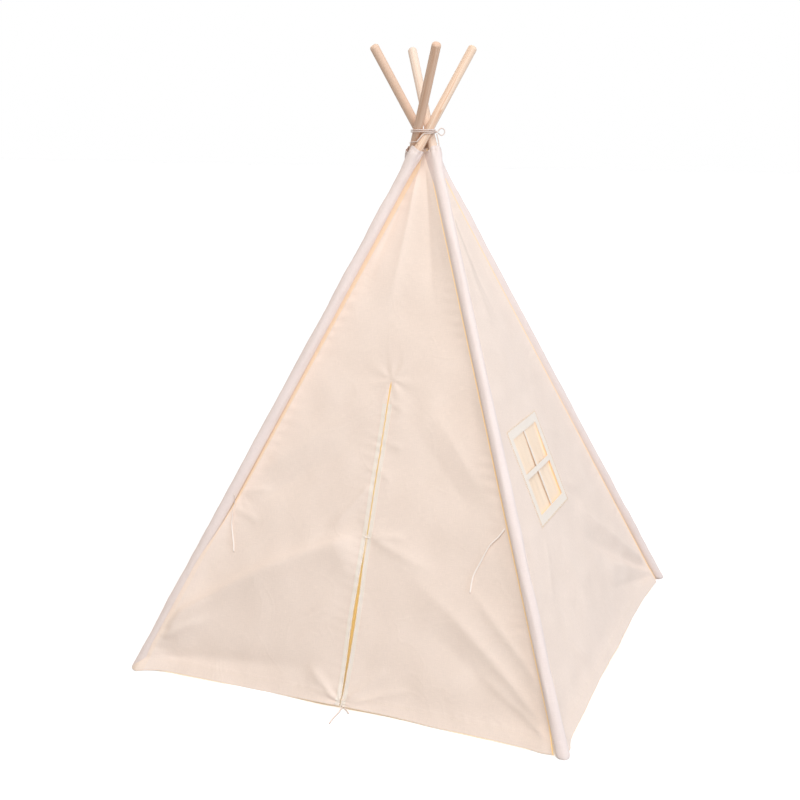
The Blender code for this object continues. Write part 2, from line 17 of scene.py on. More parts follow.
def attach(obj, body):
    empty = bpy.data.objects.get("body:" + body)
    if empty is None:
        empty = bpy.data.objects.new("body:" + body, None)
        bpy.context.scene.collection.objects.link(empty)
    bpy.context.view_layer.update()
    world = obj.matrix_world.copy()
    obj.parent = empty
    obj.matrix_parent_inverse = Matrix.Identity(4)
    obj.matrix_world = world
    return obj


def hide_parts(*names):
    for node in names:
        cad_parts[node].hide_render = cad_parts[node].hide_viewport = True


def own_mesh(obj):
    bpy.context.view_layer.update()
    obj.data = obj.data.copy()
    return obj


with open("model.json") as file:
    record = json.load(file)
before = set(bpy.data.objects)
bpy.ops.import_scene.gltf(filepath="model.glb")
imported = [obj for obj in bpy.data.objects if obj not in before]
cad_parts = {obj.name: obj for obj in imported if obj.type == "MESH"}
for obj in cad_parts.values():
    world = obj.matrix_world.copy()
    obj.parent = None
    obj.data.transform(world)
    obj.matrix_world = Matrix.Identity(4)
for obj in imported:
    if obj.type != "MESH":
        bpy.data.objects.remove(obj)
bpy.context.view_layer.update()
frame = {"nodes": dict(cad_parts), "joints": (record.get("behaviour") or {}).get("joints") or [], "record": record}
joints = {joint["name"]: joint for joint in frame["joints"]}

# %% [markdown]
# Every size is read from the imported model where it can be. The poles' feet are its mounts,
# and the joints stand where the poles cross, where the cover's corner seams would meet and
# at the top of the door's slit. The rest follows from these by similar triangles.

# %% The tent's main sizes
half_base = abs(frame["record"]["mounts"][0]["pos_m"][0])
crossing_height = Vector(joints["fold"]["pos_m"]).z
crossing_offset = math.hypot(*joints["fold"]["pos_m"][:2])
apex_height = joints["fold_front_wall"]["pos_m"][2]
seam_half = half_base * apex_height / crossing_height
wall_tilt = math.atan2(half_base, crossing_height)
pole_tilt = math.atan2(half_base * math.sqrt(2), crossing_height)
slope_length = apex_height / math.cos(wall_tilt)
folded_pole_tilt = pole_tilt - math.radians(joints["fold"]["range_deg"][1])

# %% [markdown]
# The camera stands where the photograph was taken from: a little to the right of the door
# and above the middle of the tent, with a slightly long lens.

# %% Camera
camera_place = Vector((1.2065, -3.0443, 1.4732))
camera_target = Vector((0.0017, -0.1702, 0.7173))
camera_lens = 52.54
camera_data = bpy.data.cameras.new("studio_camera")
camera_data.lens = camera_lens
camera_data.sensor_width = 36
camera = bpy.data.objects.new("studio_camera", camera_data)
camera.location = camera_place
camera.rotation_euler = (camera_target - camera_place).to_track_quat("-Z", "Y").to_euler()
bpy.context.scene.collection.objects.link(camera)
bpy.context.scene.camera = camera
print("the camera is", round((camera_target - camera_place).length, 2), "m away")

# %% [markdown]
# A place on a wall is given as u across it, v up its slope and w out of it. All four walls
# are described as the front one and turned by quarter turns, so one set of functions does
# for all of them. The arrays hold many places at once, because a wall has many points.


# %% Places on a wall
def wall_place(u, v, w=0.0, turn=0):
    """World places of the front wall's u, v and w, turned by quarter turns to another wall."""
    u, v, w = np.broadcast_arrays(u, v, w)
    across = u
    out = -seam_half + v * math.sin(wall_tilt) - w * math.cos(wall_tilt)
    up = v * math.cos(wall_tilt) + w * math.sin(wall_tilt)
    c, s = round(math.cos(turn * math.pi / 2)), round(math.sin(turn * math.pi / 2))
    return np.stack([across * c - out * s, across * s + out * c, up], axis=-1)


def wall_outward(turn=0):
    return Vector(wall_place(0, 0, 1, turn) - wall_place(0, 0, 0, turn))


def quarter_turn(turns):
    """A rotation by quarter turns about the tent's upright middle line."""
    return Matrix.Rotation(turns * math.pi / 2, 3, "Z")


def ease(share):
    """0 to 1, starting and stopping gently."""
    share = np.clip(share, 0.0, 1.0)
    return share * share * (3 - 2 * share)


def seam_reach(v):
    """From the wall's middle line to the corner seam."""
    return seam_half * (1 - v / slope_length)


slit_offset = joints["open_left_flap"]["pos_m"][0]
slit_top = joints["open_left_flap"]["pos_m"][2] / math.cos(wall_tilt)
flap_axis = joints["open_left_flap"]["axis"]
flap_hem_width = slit_top * abs(flap_axis[0]) / (flap_axis[2] / math.cos(wall_tilt))
print("the slit is", round(slit_top, 3), "m long and a flap's hem", round(flap_hem_width, 3), "m")

# %% [markdown]
# Each object made below stands for a piece of the imported model and rides on that piece's body, so it moves as
# the piece does. A real cover also bunches up between the poles as they close, but here the cloth is not gathered:
# each piece only gets its own mesh.


# %% Pieces and bodies
def gather(made, turn):
    """Gives the cloth its own mesh. It is not gathered as the poles come together."""
    level = wall_place(1, 0, 0, turn) - wall_place(0, 0, 0, turn)
    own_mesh(made)


def stands_for(made, node, body, turn=None):
    """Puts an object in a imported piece's place, and gives it its own mesh if it has a wall."""
    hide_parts(node)
    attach(made, body)
    if turn is not None:
        gather(made, turn)


# %% [markdown]
# Natural cloth, wood and cord all vary a little from place to place. Each effect that more
# than one finish uses is a node group with named inputs, so that its scale and strength are
# set where it is used. They put out masks and heights only, and the shader stays in each
# material.


# %% Helpers for materials
def linear(*levels):
    """A colour given as a screen shows it, 0 to 255, in the renderer's linear values."""
    shares = [level / 255 for level in levels]
    return [s / 12.92 if s <= 0.04045 else ((s + 0.055) / 1.055) ** 2.4 for s in shares] + [1.0]


def new_group(name, inputs, outputs):
    """A shader node group with float, colour or vector sockets, and its two end nodes."""
    group = bpy.data.node_groups.new(name, "ShaderNodeTree")
    kinds = {"float": "NodeSocketFloat", "colour": "NodeSocketColor", "vector": "NodeSocketVector"}
    for label, kind, value in inputs:
        socket = group.interface.new_socket(name=label, in_out="INPUT", socket_type=kinds[kind])
        if value is not None:
            socket.default_value = value
    for label, kind in outputs:
        group.interface.new_socket(name=label, in_out="OUTPUT", socket_type=kinds[kind])
    return group, group.nodes.new("NodeGroupInput"), group.nodes.new("NodeGroupOutput")


def feed(tree, socket, value):
    """Links a socket to another one, or sets its value."""
    if isinstance(value, bpy.types.NodeSocket):
        tree.links.new(value, socket)
    else:
        socket.default_value = value


def add_node(tree, kind, settings=(), **inputs):
    """Adds a node, sets its properties and feeds its inputs, by name, or by number as i0, i1."""
    node = tree.nodes.new(kind)
    for key, value in dict(settings).items():
        setattr(node, key, value)
    for key, value in inputs.items():
        numbered = key[0] == "i" and key[1:].isdigit()
        feed(tree, node.inputs[int(key[1:]) if numbered else key], value)
    return node


def feed_all(tree, shader, values):
    """Feeds a shader's inputs by name. Each value is a socket, a number or a colour."""
    for label, value in values.items():
        feed(tree, shader.inputs[label], value)


def maths(tree, operation, *values):
    node = add_node(tree, "ShaderNodeMath", {"operation": operation})
    for socket, value in zip(node.inputs, values):
        feed(tree, socket, value)
    return node.outputs[0]


def mixed(tree, share, first, second, blend="MIX"):
    """Mixes two colours, each a socket or four numbers."""
    settings = {"data_type": "RGBA", "blend_type": blend}
    return add_node(tree, "ShaderNodeMix", settings, i0=share, i6=first, i7=second).outputs[2]


def stretched(tree, place, *scale):
    """A place with its three directions multiplied, which draws a pattern out along some."""
    settings = {"operation": "MULTIPLY"}
    return add_node(tree, "ShaderNodeVectorMath", settings, i0=place, i1=scale).outputs[0]


def bumped(tree, height, strength, distance, **under):
    """The bumps that a height makes, over the bumps under them if there are any."""
    return add_node(
        tree, "ShaderNodeBump", Height=height, Strength=strength, Distance=distance, **under
    ).outputs[0]


def new_material(name):
    """A material, its node tree and the shader in it."""
    made = bpy.data.materials.new(name)
    made.use_nodes = True
    return made, made.node_tree, made.node_tree.nodes["Principled BSDF"]


# %% [markdown]
# Plain weave is two sets of threads that pass over and under each other. Two waves at right
# angles give the bumps, and noise drawn out along each set gives the slubs, the thick places
# that make cotton canvas look like canvas. The place comes from the cloth's own UV map, in
# metres, so that the threads follow the cloth.


# %% The weave group
thread_pitch = 0.0008
slub_length = 0.02
slub_width = 0.0012


def make_weave():
    group, start, end = new_group(
        "plain_weave",
        [("Place", "vector", None), ("Pitch", "float", thread_pitch), ("Slub", "float", 0.5)],
        [("Height", "float"), ("Tone", "float")],
    )
    split = add_node(group, "ShaderNodeSeparateXYZ", Vector=start.outputs["Place"])
    half_turns = [maths(group, "MULTIPLY", split.outputs[k], math.pi) for k in (0, 1)]
    turns = [maths(group, "DIVIDE", half_turn, start.outputs["Pitch"]) for half_turn in half_turns]
    sines = [maths(group, "SINE", turn) for turn in turns]
    cross = maths(group, "MULTIPLY", *sines)
    slubs = []
    for stretch in ((1 / slub_length, 1 / slub_width, 1), (1 / slub_width, 1 / slub_length, 1)):
        noise = add_node(
            group, "ShaderNodeTexNoise", {"noise_dimensions": "2D"},
            Vector=stretched(group, start.outputs["Place"], *stretch), Scale=1.0, Detail=1.0,
            Roughness=0.5,
        )
        slubs.append(maths(group, "POWER", noise.outputs["Fac"], 2.0))
    slub = maths(group, "ADD", *slubs)
    raised = maths(group, "MULTIPLY", slub, start.outputs["Slub"])
    height = maths(group, "ADD", maths(group, "MULTIPLY", cross, 0.35), raised)
    group.links.new(height, end.inputs["Height"])
    tone = maths(group, "MULTIPLY_ADD", maths(group, "SUBTRACT", raised, 0.25), 0.16, 1.0)
    group.links.new(maths(group, "MULTIPLY_ADD", cross, 0.02, tone), end.inputs["Tone"])
    return group


weave_group = make_weave()
print(weave_group.name, "has", len(weave_group.nodes), "nodes")


# %% [markdown]
# Cloth that has been packed in a box keeps soft creases, and its colour is never quite even.
# This group makes both from noise on two scales. The creases are where the noise crosses its
# middle value, which draws thin wandering lines.


# %% The handling group
crease_size = 0.12


def make_handling():
    group, start, end = new_group(
        "handled_cloth",
        [("Place", "vector", None), ("Size", "float", crease_size)],
        [("Height", "float"), ("Patch", "float")],
    )
    scale = maths(group, "DIVIDE", 1.0, start.outputs["Size"])
    broad = add_node(
        group, "ShaderNodeTexNoise", {"noise_dimensions": "2D"},
        Vector=start.outputs["Place"], Scale=scale, Detail=2.0, Roughness=0.5, Distortion=0.6,
    )
    fine = add_node(
        group, "ShaderNodeTexNoise", {"noise_dimensions": "2D"},
        Vector=start.outputs["Place"], Scale=maths(group, "MULTIPLY", scale, 4.0), Detail=3.0,
        Roughness=0.55,
    )
    line = maths(group, "ABSOLUTE", maths(group, "SUBTRACT", broad.outputs["Fac"], 0.5))
    steep = maths(group, "MULTIPLY", line, 14.0)
    crease = maths(group, "SUBTRACT", 1.0, maths(group, "SMOOTH_MIN", steep, 1.0, 0.6))
    height = maths(group, "MULTIPLY_ADD", fine.outputs["Fac"], 0.5, crease)
    group.links.new(height, end.inputs["Height"])
    group.links.new(broad.outputs["Fac"], end.inputs["Patch"])
    return group


handling_group = make_handling()
print(handling_group.name, "has", len(handling_group.nodes), "nodes")


# %% [markdown]
# The canvas itself is a rough cream shader. In the sewn groove beside a sleeve the cloth is in shade, and the
# light that has passed through several layers of cloth comes out gold. The group below draws that line as painted
# shade and painted light, from a map with the distance to the sleeve and the line's strength there.


# %% The painted seam light group
painted_seam_width = 0.0026


def soft_step(tree, value, start, end, first=0.0, last=1.0):
    """From the first value to the last, eased, as the value goes from start to end."""
    node = add_node(tree, "ShaderNodeMapRange", {"interpolation_type": "SMOOTHSTEP"}, Value=value)
    for label, level in (("From Min", start), ("From Max", end), ("To Min", first), ("To Max", last)):
        node.inputs[label].default_value = level
    return node.outputs[0]


def make_painted_seam_light():
    group, start, end = new_group(
        "seam_line", [("Place", "vector", None), ("Width", "float", painted_seam_width)], [("Mask", "float")]
    )
    split = add_node(group, "ShaderNodeSeparateXYZ", Vector=start.outputs["Place"])
    share = maths(group, "DIVIDE", split.outputs[0], start.outputs["Width"])
    line = soft_step(group, share, 0.4, 1.6, 1.0, 0.0)
    group.links.new(maths(group, "MULTIPLY", line, split.outputs[1]), end.inputs["Mask"])
    return group


painted_seam_light_group = make_painted_seam_light()
print(painted_seam_light_group.name, "has", len(painted_seam_light_group.nodes), "nodes")


# %% [markdown]
# All the cotton pieces share one finish with their own two close colours. Daylight comes through real canvas and
# makes the inside of a tent glow warmly. Light that goes through each wall is slow to render and noisy, so the
# inside of the cloth is painted instead: its gold colour is painted light, and it gives off a little of that
# colour as a painted glow.

# %% Canvas finishes
# A gold colour painted into the cloth beside the sleeves as the shade in the groove, and the colour of the painted
# glow there.
painted_seam_shade = linear(228, 184, 122)
golden_light = linear(245, 214, 160)
no_light = (0.0, 0.0, 0.0, 1.0)
seam_glow = 0.42


def grouped(tree, group, **inputs):
    return add_node(tree, "ShaderNodeGroup", {"node_tree": group}, **inputs)


def cloth_finish(name, colour, second, pitch=thread_pitch, slub=0.55, seam=0.0, glow=0.0):
    """Woven cotton: two close colours in soft patches, a weave and faint creases. A seam strength adds painted
    shade and a painted glow in gold beside the sleeves, and a glow makes the cloth give off its own colour as
    painted light.
    """
    made, tree, shader = new_material(name)
    place = add_node(tree, "ShaderNodeUVMap", {"uv_map": "cloth"}).outputs[0]
    weave = grouped(tree, weave_group, Place=place, Pitch=pitch, Slub=slub)
    handled = grouped(tree, handling_group, Place=place, Size=crease_size)
    patched = mixed(tree, handled.outputs["Patch"], colour, second)
    tone = add_node(
        tree, "ShaderNodeCombineColor",
        Red=weave.outputs["Tone"], Green=weave.outputs["Tone"], Blue=weave.outputs["Tone"],
    )
    woven = mixed(tree, 1.0, patched, tone.outputs[0], "MULTIPLY")
    # Painted shade and painted light: beside the sleeves the colour turns gold and the cloth gives off a gold
    # glow.
    if seam:
        edge = add_node(tree, "ShaderNodeUVMap", {"uv_map": "edge"}).outputs[0]
        line = grouped(tree, painted_seam_light_group, Place=edge, Width=painted_seam_width)
        seamed = maths(tree, "MULTIPLY", line.outputs["Mask"], seam)
        woven = mixed(tree, seamed, woven, painted_seam_shade)
        light = mixed(tree, seamed, no_light, golden_light)
        feed_all(tree, shader, {"Emission Color": light, "Emission Strength": seam_glow})
    # Painted light: the cloth gives off its own colour.
    if glow:
        feed_all(tree, shader, {"Emission Color": woven, "Emission Strength": glow})
    creased = bumped(tree, handled.outputs["Height"], 0.35, 0.0006)
    woven_bumps = bumped(tree, weave.outputs["Height"], 0.6, 0.0002, Normal=creased)
    feed_all(tree, shader, {
        "Base Color": woven, "Normal": woven_bumps, "Roughness": 0.92, "Specular IOR Level": 0.2,
        "Sheen Weight": 0.05, "Sheen Roughness": 0.6,
    })
    return made


canvas = cloth_finish("cream_canvas", linear(242, 222, 207), linear(246, 227, 213), seam=0.9)
# The inside's gold colour and its glow are painted light, for daylight through the canvas.
canvas_inside = cloth_finish("canvas_inside", linear(240, 212, 146), linear(243, 217, 154), glow=0.50)
# The sleeves' darker colour is painted shade: less light comes through their doubled cloth with a pole inside.
sleeve_canvas = cloth_finish("sleeve_canvas", linear(236, 219, 211), linear(241, 225, 218))
trim_tape = cloth_finish("trim_tape", linear(246, 232, 217), linear(249, 237, 225), 0.0006, 0.3)
# The curtain's warmer, darker colour is painted shade and its faint glow is painted light, for the light that
# reaches it through the window and the cloth.
curtain_cotton = cloth_finish(
    "curtain_cotton", linear(240, 215, 188), linear(245, 223, 200), 0.0006, 0.4, glow=0.1
)
fastener_tape = cloth_finish("fastener_tape", linear(238, 230, 220), linear(242, 236, 228), 0.0012, 0.8)
print("canvas finishes:", [made.name for made in (canvas, canvas_inside, sleeve_canvas, trim_tape)])


# %% [markdown]
# Soft cotton cord has its fibres in the twist of the strands. The strands are real shapes on
# these cords, so the finish only adds the fuzz of the fibres along them.


# %% Cord and thread finishes
def cord_finish(name, colour, shade):
    made, tree, shader = new_material(name)
    place = add_node(tree, "ShaderNodeTexCoord").outputs["Object"]
    fuzz = add_node(tree, "ShaderNodeTexNoise", Vector=place, Scale=900.0, Detail=3.0, Roughness=0.7)
    patch = add_node(tree, "ShaderNodeTexNoise", Vector=place, Scale=60.0, Detail=2.0, Roughness=0.5)
    feed_all(tree, shader, {
        "Base Color": mixed(tree, patch.outputs["Fac"], colour, shade), "Roughness": 0.9,
        "Normal": bumped(tree, fuzz.outputs["Fac"], 0.5, 0.0003), "Sheen Weight": 0.15,
    })
    return made


cotton_cord = cord_finish("cotton_cord", linear(246, 230, 220), linear(222, 200, 188))
tie_cotton = cord_finish("tie_cotton", linear(255, 246, 238), linear(250, 236, 226))
zigzag_thread = cord_finish("zigzag_thread", linear(226, 184, 132), linear(214, 166, 110))
sewing_thread = cord_finish("sewing_thread", linear(246, 230, 212), linear(238, 218, 196))
threads = (cotton_cord, tie_cotton, zigzag_thread, sewing_thread)
print("cord and thread finishes:", [made.name for made in threads])


# %% [markdown]
# ## Cords
# A cord is three strands laid round each other. The tube below follows the cord's route, and
# the outline of its section is that of three round strands side by side, turned a little
# further at each ring. The groove between the strands is filled in part, as soft cotton does.


# %% Helpers for tubes
def smooth_route(points, spacing):
    """Evenly spaced points on one smooth curve through the route's own points."""
    points = [Vector(point) for point in points]
    ends = [2 * points[0] - points[1], *points, 2 * points[-1] - points[-2]]
    steps = 24
    dense = []
    for a, b, c, d in zip(ends, ends[1:], ends[2:], ends[3:]):
        for step in range(steps):
            t = step / steps
            bend = (2 * a - 5 * b + 4 * c - d) * t**2 + (3 * b - a - 3 * c + d) * t**3
            dense.append((2 * b + (c - a) * t + bend) / 2)
    dense.append(points[-1])
    return spaced(dense, spacing)


def spaced(points, spacing):
    """The same line with its points at even distances, and its length."""
    line = np.array([list(point) for point in points])
    lengths = np.concatenate([[0.0], np.cumsum(np.linalg.norm(np.diff(line, axis=0), axis=1))])
    count = max(3, round(lengths[-1] / spacing))
    wanted = np.linspace(0, lengths[-1], count + 1)
    even = [Vector([np.interp(far, lengths, line[:, k]) for k in range(3)]) for far in wanted]
    return even, float(lengths[-1])


def carried_frames(line):
    """At each point of a line its direction and two square ones that don't spin along it."""
    frames = []
    side = None
    for i, here in enumerate(line):
        ahead = (line[min(i + 1, len(line) - 1)] - line[max(i - 1, 0)]).normalized()
        if side is None:
            side = ahead.orthogonal().normalized()
        side = (side - ahead * side.dot(ahead)).normalized()
        frames.append((here, ahead, side, ahead.cross(side)))
    return frames


def object_from(name, bm, material):
    """A bmesh as a smooth object of its own, at the origin."""
    mesh = bpy.data.meshes.new(name)
    bm.to_mesh(mesh)
    bm.free()
    mesh.shade_smooth()
    mesh.materials.append(material)
    made = bpy.data.objects.new(name, mesh)
    bpy.context.scene.collection.objects.link(made)
    return made


def skinned(name, rings, material, closed=False):
    """A closed skin over rings of points, with fans over its two ends unless it is a loop."""
    bm = bmesh.new()
    rows = [[bm.verts.new(point) for point in ring] for ring in rings]
    pairs = list(zip(rows, rows[1:])) + ([(rows[-1], rows[0])] if closed else [])
    for here, ahead in pairs:
        for i in range(len(here)):
            j = (i + 1) % len(here)
            bm.faces.new((here[i], here[j], ahead[j], ahead[i]))
    if not closed:
        bm.faces.new(rows[0][::-1])
        bm.faces.new(rows[-1])
    bmesh.ops.recalc_face_normals(bm, faces=bm.faces)
    return object_from(name, bm, material)


def strand_outline(angle, strands=3, groove=0.74):
    """How far the outline of three strands reaches in one direction, as a share."""
    strand = 1 / (1 + 2 / math.sqrt(strands))
    centre = 1 - strand
    off = (angle + math.pi / strands) % (2 * math.pi / strands) - math.pi / strands
    under = strand**2 - (centre * math.sin(off)) ** 2
    return max(groove, centre * math.cos(off) + math.sqrt(max(under, 0.0)))


def laid_cord(name, line, diameter, material, twist_length=0.009, closed=False, sides=18):
    """A three-strand cord along a line of close points."""
    travelled = 0.0
    rings = []
    last = line[0]
    for here, _, side, up in carried_frames(line):
        travelled += (here - last).length
        last = here
        ring = []
        for k in range(sides):
            angle = 2 * math.pi * k / sides
            reach = diameter / 2 * strand_outline(angle - 2 * math.pi * travelled / twist_length)
            ring.append(here + (side * math.cos(angle) + up * math.sin(angle)) * reach)
        rings.append(ring)
    return skinned(name, rings, material, closed)


# %% [markdown]
# The lashing goes round the four poles just where they cross. Seen from above, each pole's
# section is a leaning oval, and the cord runs on the outside of whichever reaches furthest.
# It starts lower down, crosses the poles steeply, and then goes round level twice.

# %% The lashing
pole_radius = 0.0125
lashing_diameter = 0.0036
lashing_ease = 0.0015
lashing_start_angle = -130.0
lashing_end_angle = 722.0
lashing_rise_angle = 50.0
lashing_lead = 0.024
lashing_low = 0.001
lashing_pitch = 0.0046
cord_step = 0.0011
hub = Vector((0, 0, crossing_height))


def bundle_edge(angle, height):
    """Where a cord's middle clears the four poles, open or closed, in the direction of angle."""
    facing = Vector((math.cos(angle), math.sin(angle), 0))
    best = None
    for tilt in (pole_tilt, folded_pole_tilt):
        for turn in range(4):
            quarter = quarter_turn(turn)
            lean = quarter @ Vector((-1, -1, 0)).normalized()
            side = quarter @ Vector((1, -1, 0)).normalized()
            middle = side * crossing_offset - lean * height * math.tan(tilt)
            long_part = facing.dot(lean) * pole_radius / math.cos(tilt)
            short_part = facing.dot(side) * pole_radius
            reach = math.hypot(long_part, short_part)
            if best is None or middle.dot(facing) + reach > best[0]:
                touch = lean * long_part * pole_radius / math.cos(tilt)
                touch = touch + side * short_part * pole_radius
                best = (middle.dot(facing) + reach, middle + touch / reach)
    edge = best[1] + facing * (lashing_diameter / 2 + lashing_ease)
    return hub + edge + Vector((0, 0, height))


def lashing_height(angle):
    """Climbs steeply at first, from below the crossing, and then by one pitch each turn."""
    turned = angle - lashing_start_angle
    climb = lashing_lead * (1 - float(ease(turned / lashing_rise_angle)))
    return lashing_low - climb + lashing_pitch * turned / 360


def make_lashing():
    angles = np.linspace(lashing_start_angle, lashing_end_angle, 240)
    rough = [bundle_edge(math.radians(angle), lashing_height(angle)) for angle in angles]
    line, length = spaced(rough, cord_step)
    made = laid_cord("lashing_cord", line, lashing_diameter, cotton_cord)
    print("the lashing is", round(length, 3), "m long")
    stands_for(made, "lashing_wraps", "lashing")


make_lashing()


# %% [markdown]
# A small knot is one cord that goes through its own loop. The trefoil curve is the simplest
# such path, so a short fat tube along it makes a knot that reads as tied cord from any side.


# %% Knots
knot_cord = 0.0034
knot_twist = 0.0045


def trefoil(t):
    """The knot's curve, three units in radius."""
    return Vector((
        math.sin(t) + 2 * math.sin(2 * t), math.cos(t) - 2 * math.cos(2 * t), -1.3 * math.sin(3 * t)
    ))


def tied_knot(name, centre, radius, material):
    scale = (radius - knot_cord * 0.45) / 3
    line = [centre + trefoil(t) * scale for t in np.linspace(0, 2 * math.pi, 73)[:-1]]
    return laid_cord(name, line, knot_cord, material, twist_length=knot_twist, closed=True, sides=12)


knot_radius = 0.0044
touch_gap = 0.0003
last_wrap = bundle_edge(0, lashing_height(lashing_end_angle - 360))
knot_centre = last_wrap + Vector((lashing_diameter / 2 + knot_radius + touch_gap, 0.002, -0.002))
lashing_knot = tied_knot("lashing_knot_tied", knot_centre, knot_radius, cotton_cord)
stands_for(lashing_knot, "lashing_knot", "lashing")
print("the knot lies", round((knot_centre - hub).length, 3), "m from the poles' crossing")

# %% [markdown]
# The free cords follow given routes, as places from the knot that they leave. These are the same routes as in the
# imported model.

# %% Free cords
tie_diameter = 0.0036
bow_route = (
    (0.0052, 0.0008, 0.0024), (0.0090, 0.0040, 0.0080), (0.0140, 0.0085, 0.0095),
    (0.0190, 0.0120, 0.0045), (0.0190, 0.0120, -0.0030), (0.0140, 0.0080, -0.0090),
    (0.0090, 0.0040, -0.0075), (0.0052, 0.0008, -0.0024),
)
tail_route = (
    (0.0008, 0.0006, -0.0056), (0.0030, 0.0004, -0.0120), (0.0068, -0.0006, -0.0260),
    (0.0098, -0.0022, -0.0410), (0.0140, -0.0040, -0.0560), (0.0170, -0.0050, -0.0640),
)
hem_tail_long_route = (
    (0.0003, -0.0045, -0.0022), (0.0006, -0.0085, -0.0038), (0.0014, -0.0150, -0.0042),
    (0.0026, -0.0300, -0.0042), (0.0026, -0.0500, -0.0042), (0.0034, -0.0700, -0.0042),
    (0.0058, -0.0885, -0.0042),
)
hem_tail_short_route = (
    (0.0043, -0.0020, -0.0018), (0.0080, -0.0040, -0.0035), (0.0150, -0.0100, -0.0042),
    (0.0285, -0.0237, -0.0042),
)


def free_cord(name, route, start, node, body):
    """A cord along a route that is given from its knot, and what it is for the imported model."""
    line, length = smooth_route([start + Vector(point) for point in route], cord_step)
    made = laid_cord(name, line, tie_diameter, cotton_cord)
    print(name, "is", round(length, 3), "m long")
    stands_for(made, node, body)
    return made


free_cord("lashing_bow", bow_route, knot_centre, "lashing_bow_loop", "lashing")
free_cord("lashing_tail_end", tail_route, knot_centre, "lashing_tail", "lashing")
foot_knot_radius = 0.0046
foot_knot_centre = Vector((0.0175, -0.58906, 0.00628))
foot_knot = tied_knot("foot_tie_knot", foot_knot_centre, foot_knot_radius, cotton_cord)
stands_for(foot_knot, "hem_tie_knot", "door_flap_left")
foot_tails = [
    free_cord(
        "foot_tie_long", hem_tail_long_route, foot_knot_centre, "hem_tie_tail_long",
        "door_flap_left",
    ),
    free_cord(
        "foot_tie_short", hem_tail_short_route, foot_knot_centre, "hem_tie_tail_short",
        "door_flap_right",
    ),
]

# %% [markdown]
# ## Wood
# The poles are planed pine dowels. Pine shows growth rings as long straight lines along a
# dowel, a little darker than the wood between. The rings are rounds about a centre that lies
# outside the dowel, so they are made from the distance to that centre, bent by noise that is
# stretched along the pole.


# %% The pine group
ring_width = 0.0026
ring_centre = (0.021, 0.013, 0)
ring_wander = (0.012, 0.012, 0)


def make_pine():
    group, start, end = new_group(
        "pine_grain",
        [("Place", "vector", None), ("Ring", "float", ring_width)],
        [("Height", "float"), ("Late wood", "float"), ("Patch", "float")],
    )
    place = start.outputs["Place"]
    drawn_out = stretched(group, place, 40, 40, 2.2)
    bend = add_node(group, "ShaderNodeTexNoise", Vector=drawn_out, Scale=1.0, Detail=2.0)
    moved = add_node(
        group, "ShaderNodeVectorMath", {"operation": "MULTIPLY_ADD"},
        i0=bend.outputs["Color"], i1=ring_wander, i2=place,
    )
    flat = stretched(group, moved.outputs[0], 1, 1, 0)
    away = add_node(group, "ShaderNodeVectorMath", {"operation": "DISTANCE"}, i0=flat, i1=ring_centre)
    turns = maths(group, "DIVIDE", away.outputs["Value"], start.outputs["Ring"])
    late = maths(group, "POWER", maths(group, "FRACT", turns), 2.6)
    fibre_place = stretched(group, place, 900, 900, 14)
    fibre = add_node(group, "ShaderNodeTexNoise", Vector=fibre_place, Scale=1.0, Detail=2.0)
    height = maths(group, "MULTIPLY_ADD", fibre.outputs["Fac"], 0.7, late)
    group.links.new(height, end.inputs["Height"])
    group.links.new(late, end.inputs["Late wood"])
    group.links.new(fibre.outputs["Fac"], end.inputs["Patch"])
    return group


pine_group = make_pine()
print(pine_group.name, "has", len(pine_group.nodes), "nodes")

# %% [markdown]
# The four poles are one pole turned by quarter turns, so the front left one is worked out and the rest follow.
# Each has its own tint, lightest at the front right and darkest at the back left, and its own stretch of the
# grain.

# %% The poles' places and finishes
corner_names = ("front_left", "front_right", "back_right", "back_left")
pole_foot = Vector((-half_base, -half_base, 0))
around = Vector((1, -1, 0)).normalized()
pole_crossing = Vector((0, 0, crossing_height)) + around * crossing_offset
pole_axis = (pole_crossing - pole_foot).normalized()


def pole_turn(corner):
    """From the front left pole's own directions to this corner's, as a rotation."""
    return quarter_turn(corner) @ pole_axis.to_track_quat("Z", "Y").to_matrix()


pine_tints = (
    linear(247, 222, 199), linear(252, 234, 218), linear(241, 214, 192), linear(232, 202, 179)
)


def pine_finish(corner):
    """Pine whose grain runs along the pole at this corner."""
    made, tree, shader = new_material(f"pale_pine_{corner_names[corner]}")
    place = add_node(tree, "ShaderNodeTexCoord").outputs["Object"]
    mapping = add_node(
        tree, "ShaderNodeMapping", {"vector_type": "TEXTURE"}, Vector=place,
        Location=quarter_turn(corner) @ pole_foot, Rotation=pole_turn(corner).to_euler(),
    )
    own = add_node(
        tree, "ShaderNodeVectorMath", {"operation": "ADD"}, i0=mapping.outputs[0],
        i1=(0.002 * corner, -0.0015 * corner, 0.7 * corner),
    )
    pine = grouped(tree, pine_group, Place=own.outputs[0], Ring=ring_width)
    pale = mixed(tree, pine.outputs["Late wood"], linear(255, 255, 255), linear(226, 196, 172))
    patched = maths(tree, "MULTIPLY", pine.outputs["Patch"], 0.5)
    shade = mixed(tree, patched, pale, linear(240, 226, 214))
    wood = mixed(tree, 1.0, shade, pine_tints[corner], "MULTIPLY")
    feed_all(tree, shader, {
        "Base Color": wood, "Normal": bumped(tree, pine.outputs["Height"], 0.25, 0.0003),
        "Roughness": maths(tree, "MULTIPLY_ADD", pine.outputs["Late wood"], -0.1, 0.6),
    })
    return made


pine = [pine_finish(corner) for corner in range(4)]
print("the poles lean", round(math.degrees(pole_tilt), 1), "degrees")

# %% [markdown]
# The pole's tip is sanded round. A cylinder primitive is placed along the pole's axis, and a
# bevel modifier rounds its ends. The lower lengths hide in their sleeves, so they stay as they
# come and only take the wood's finish.

# %% Poles
tip_round = 0.008
dowel_sides = 56


def on_pole(distance, corner=0):
    """A point on a pole's axis, measured from the floor."""
    return quarter_turn(corner) @ (pole_foot + pole_axis * distance)


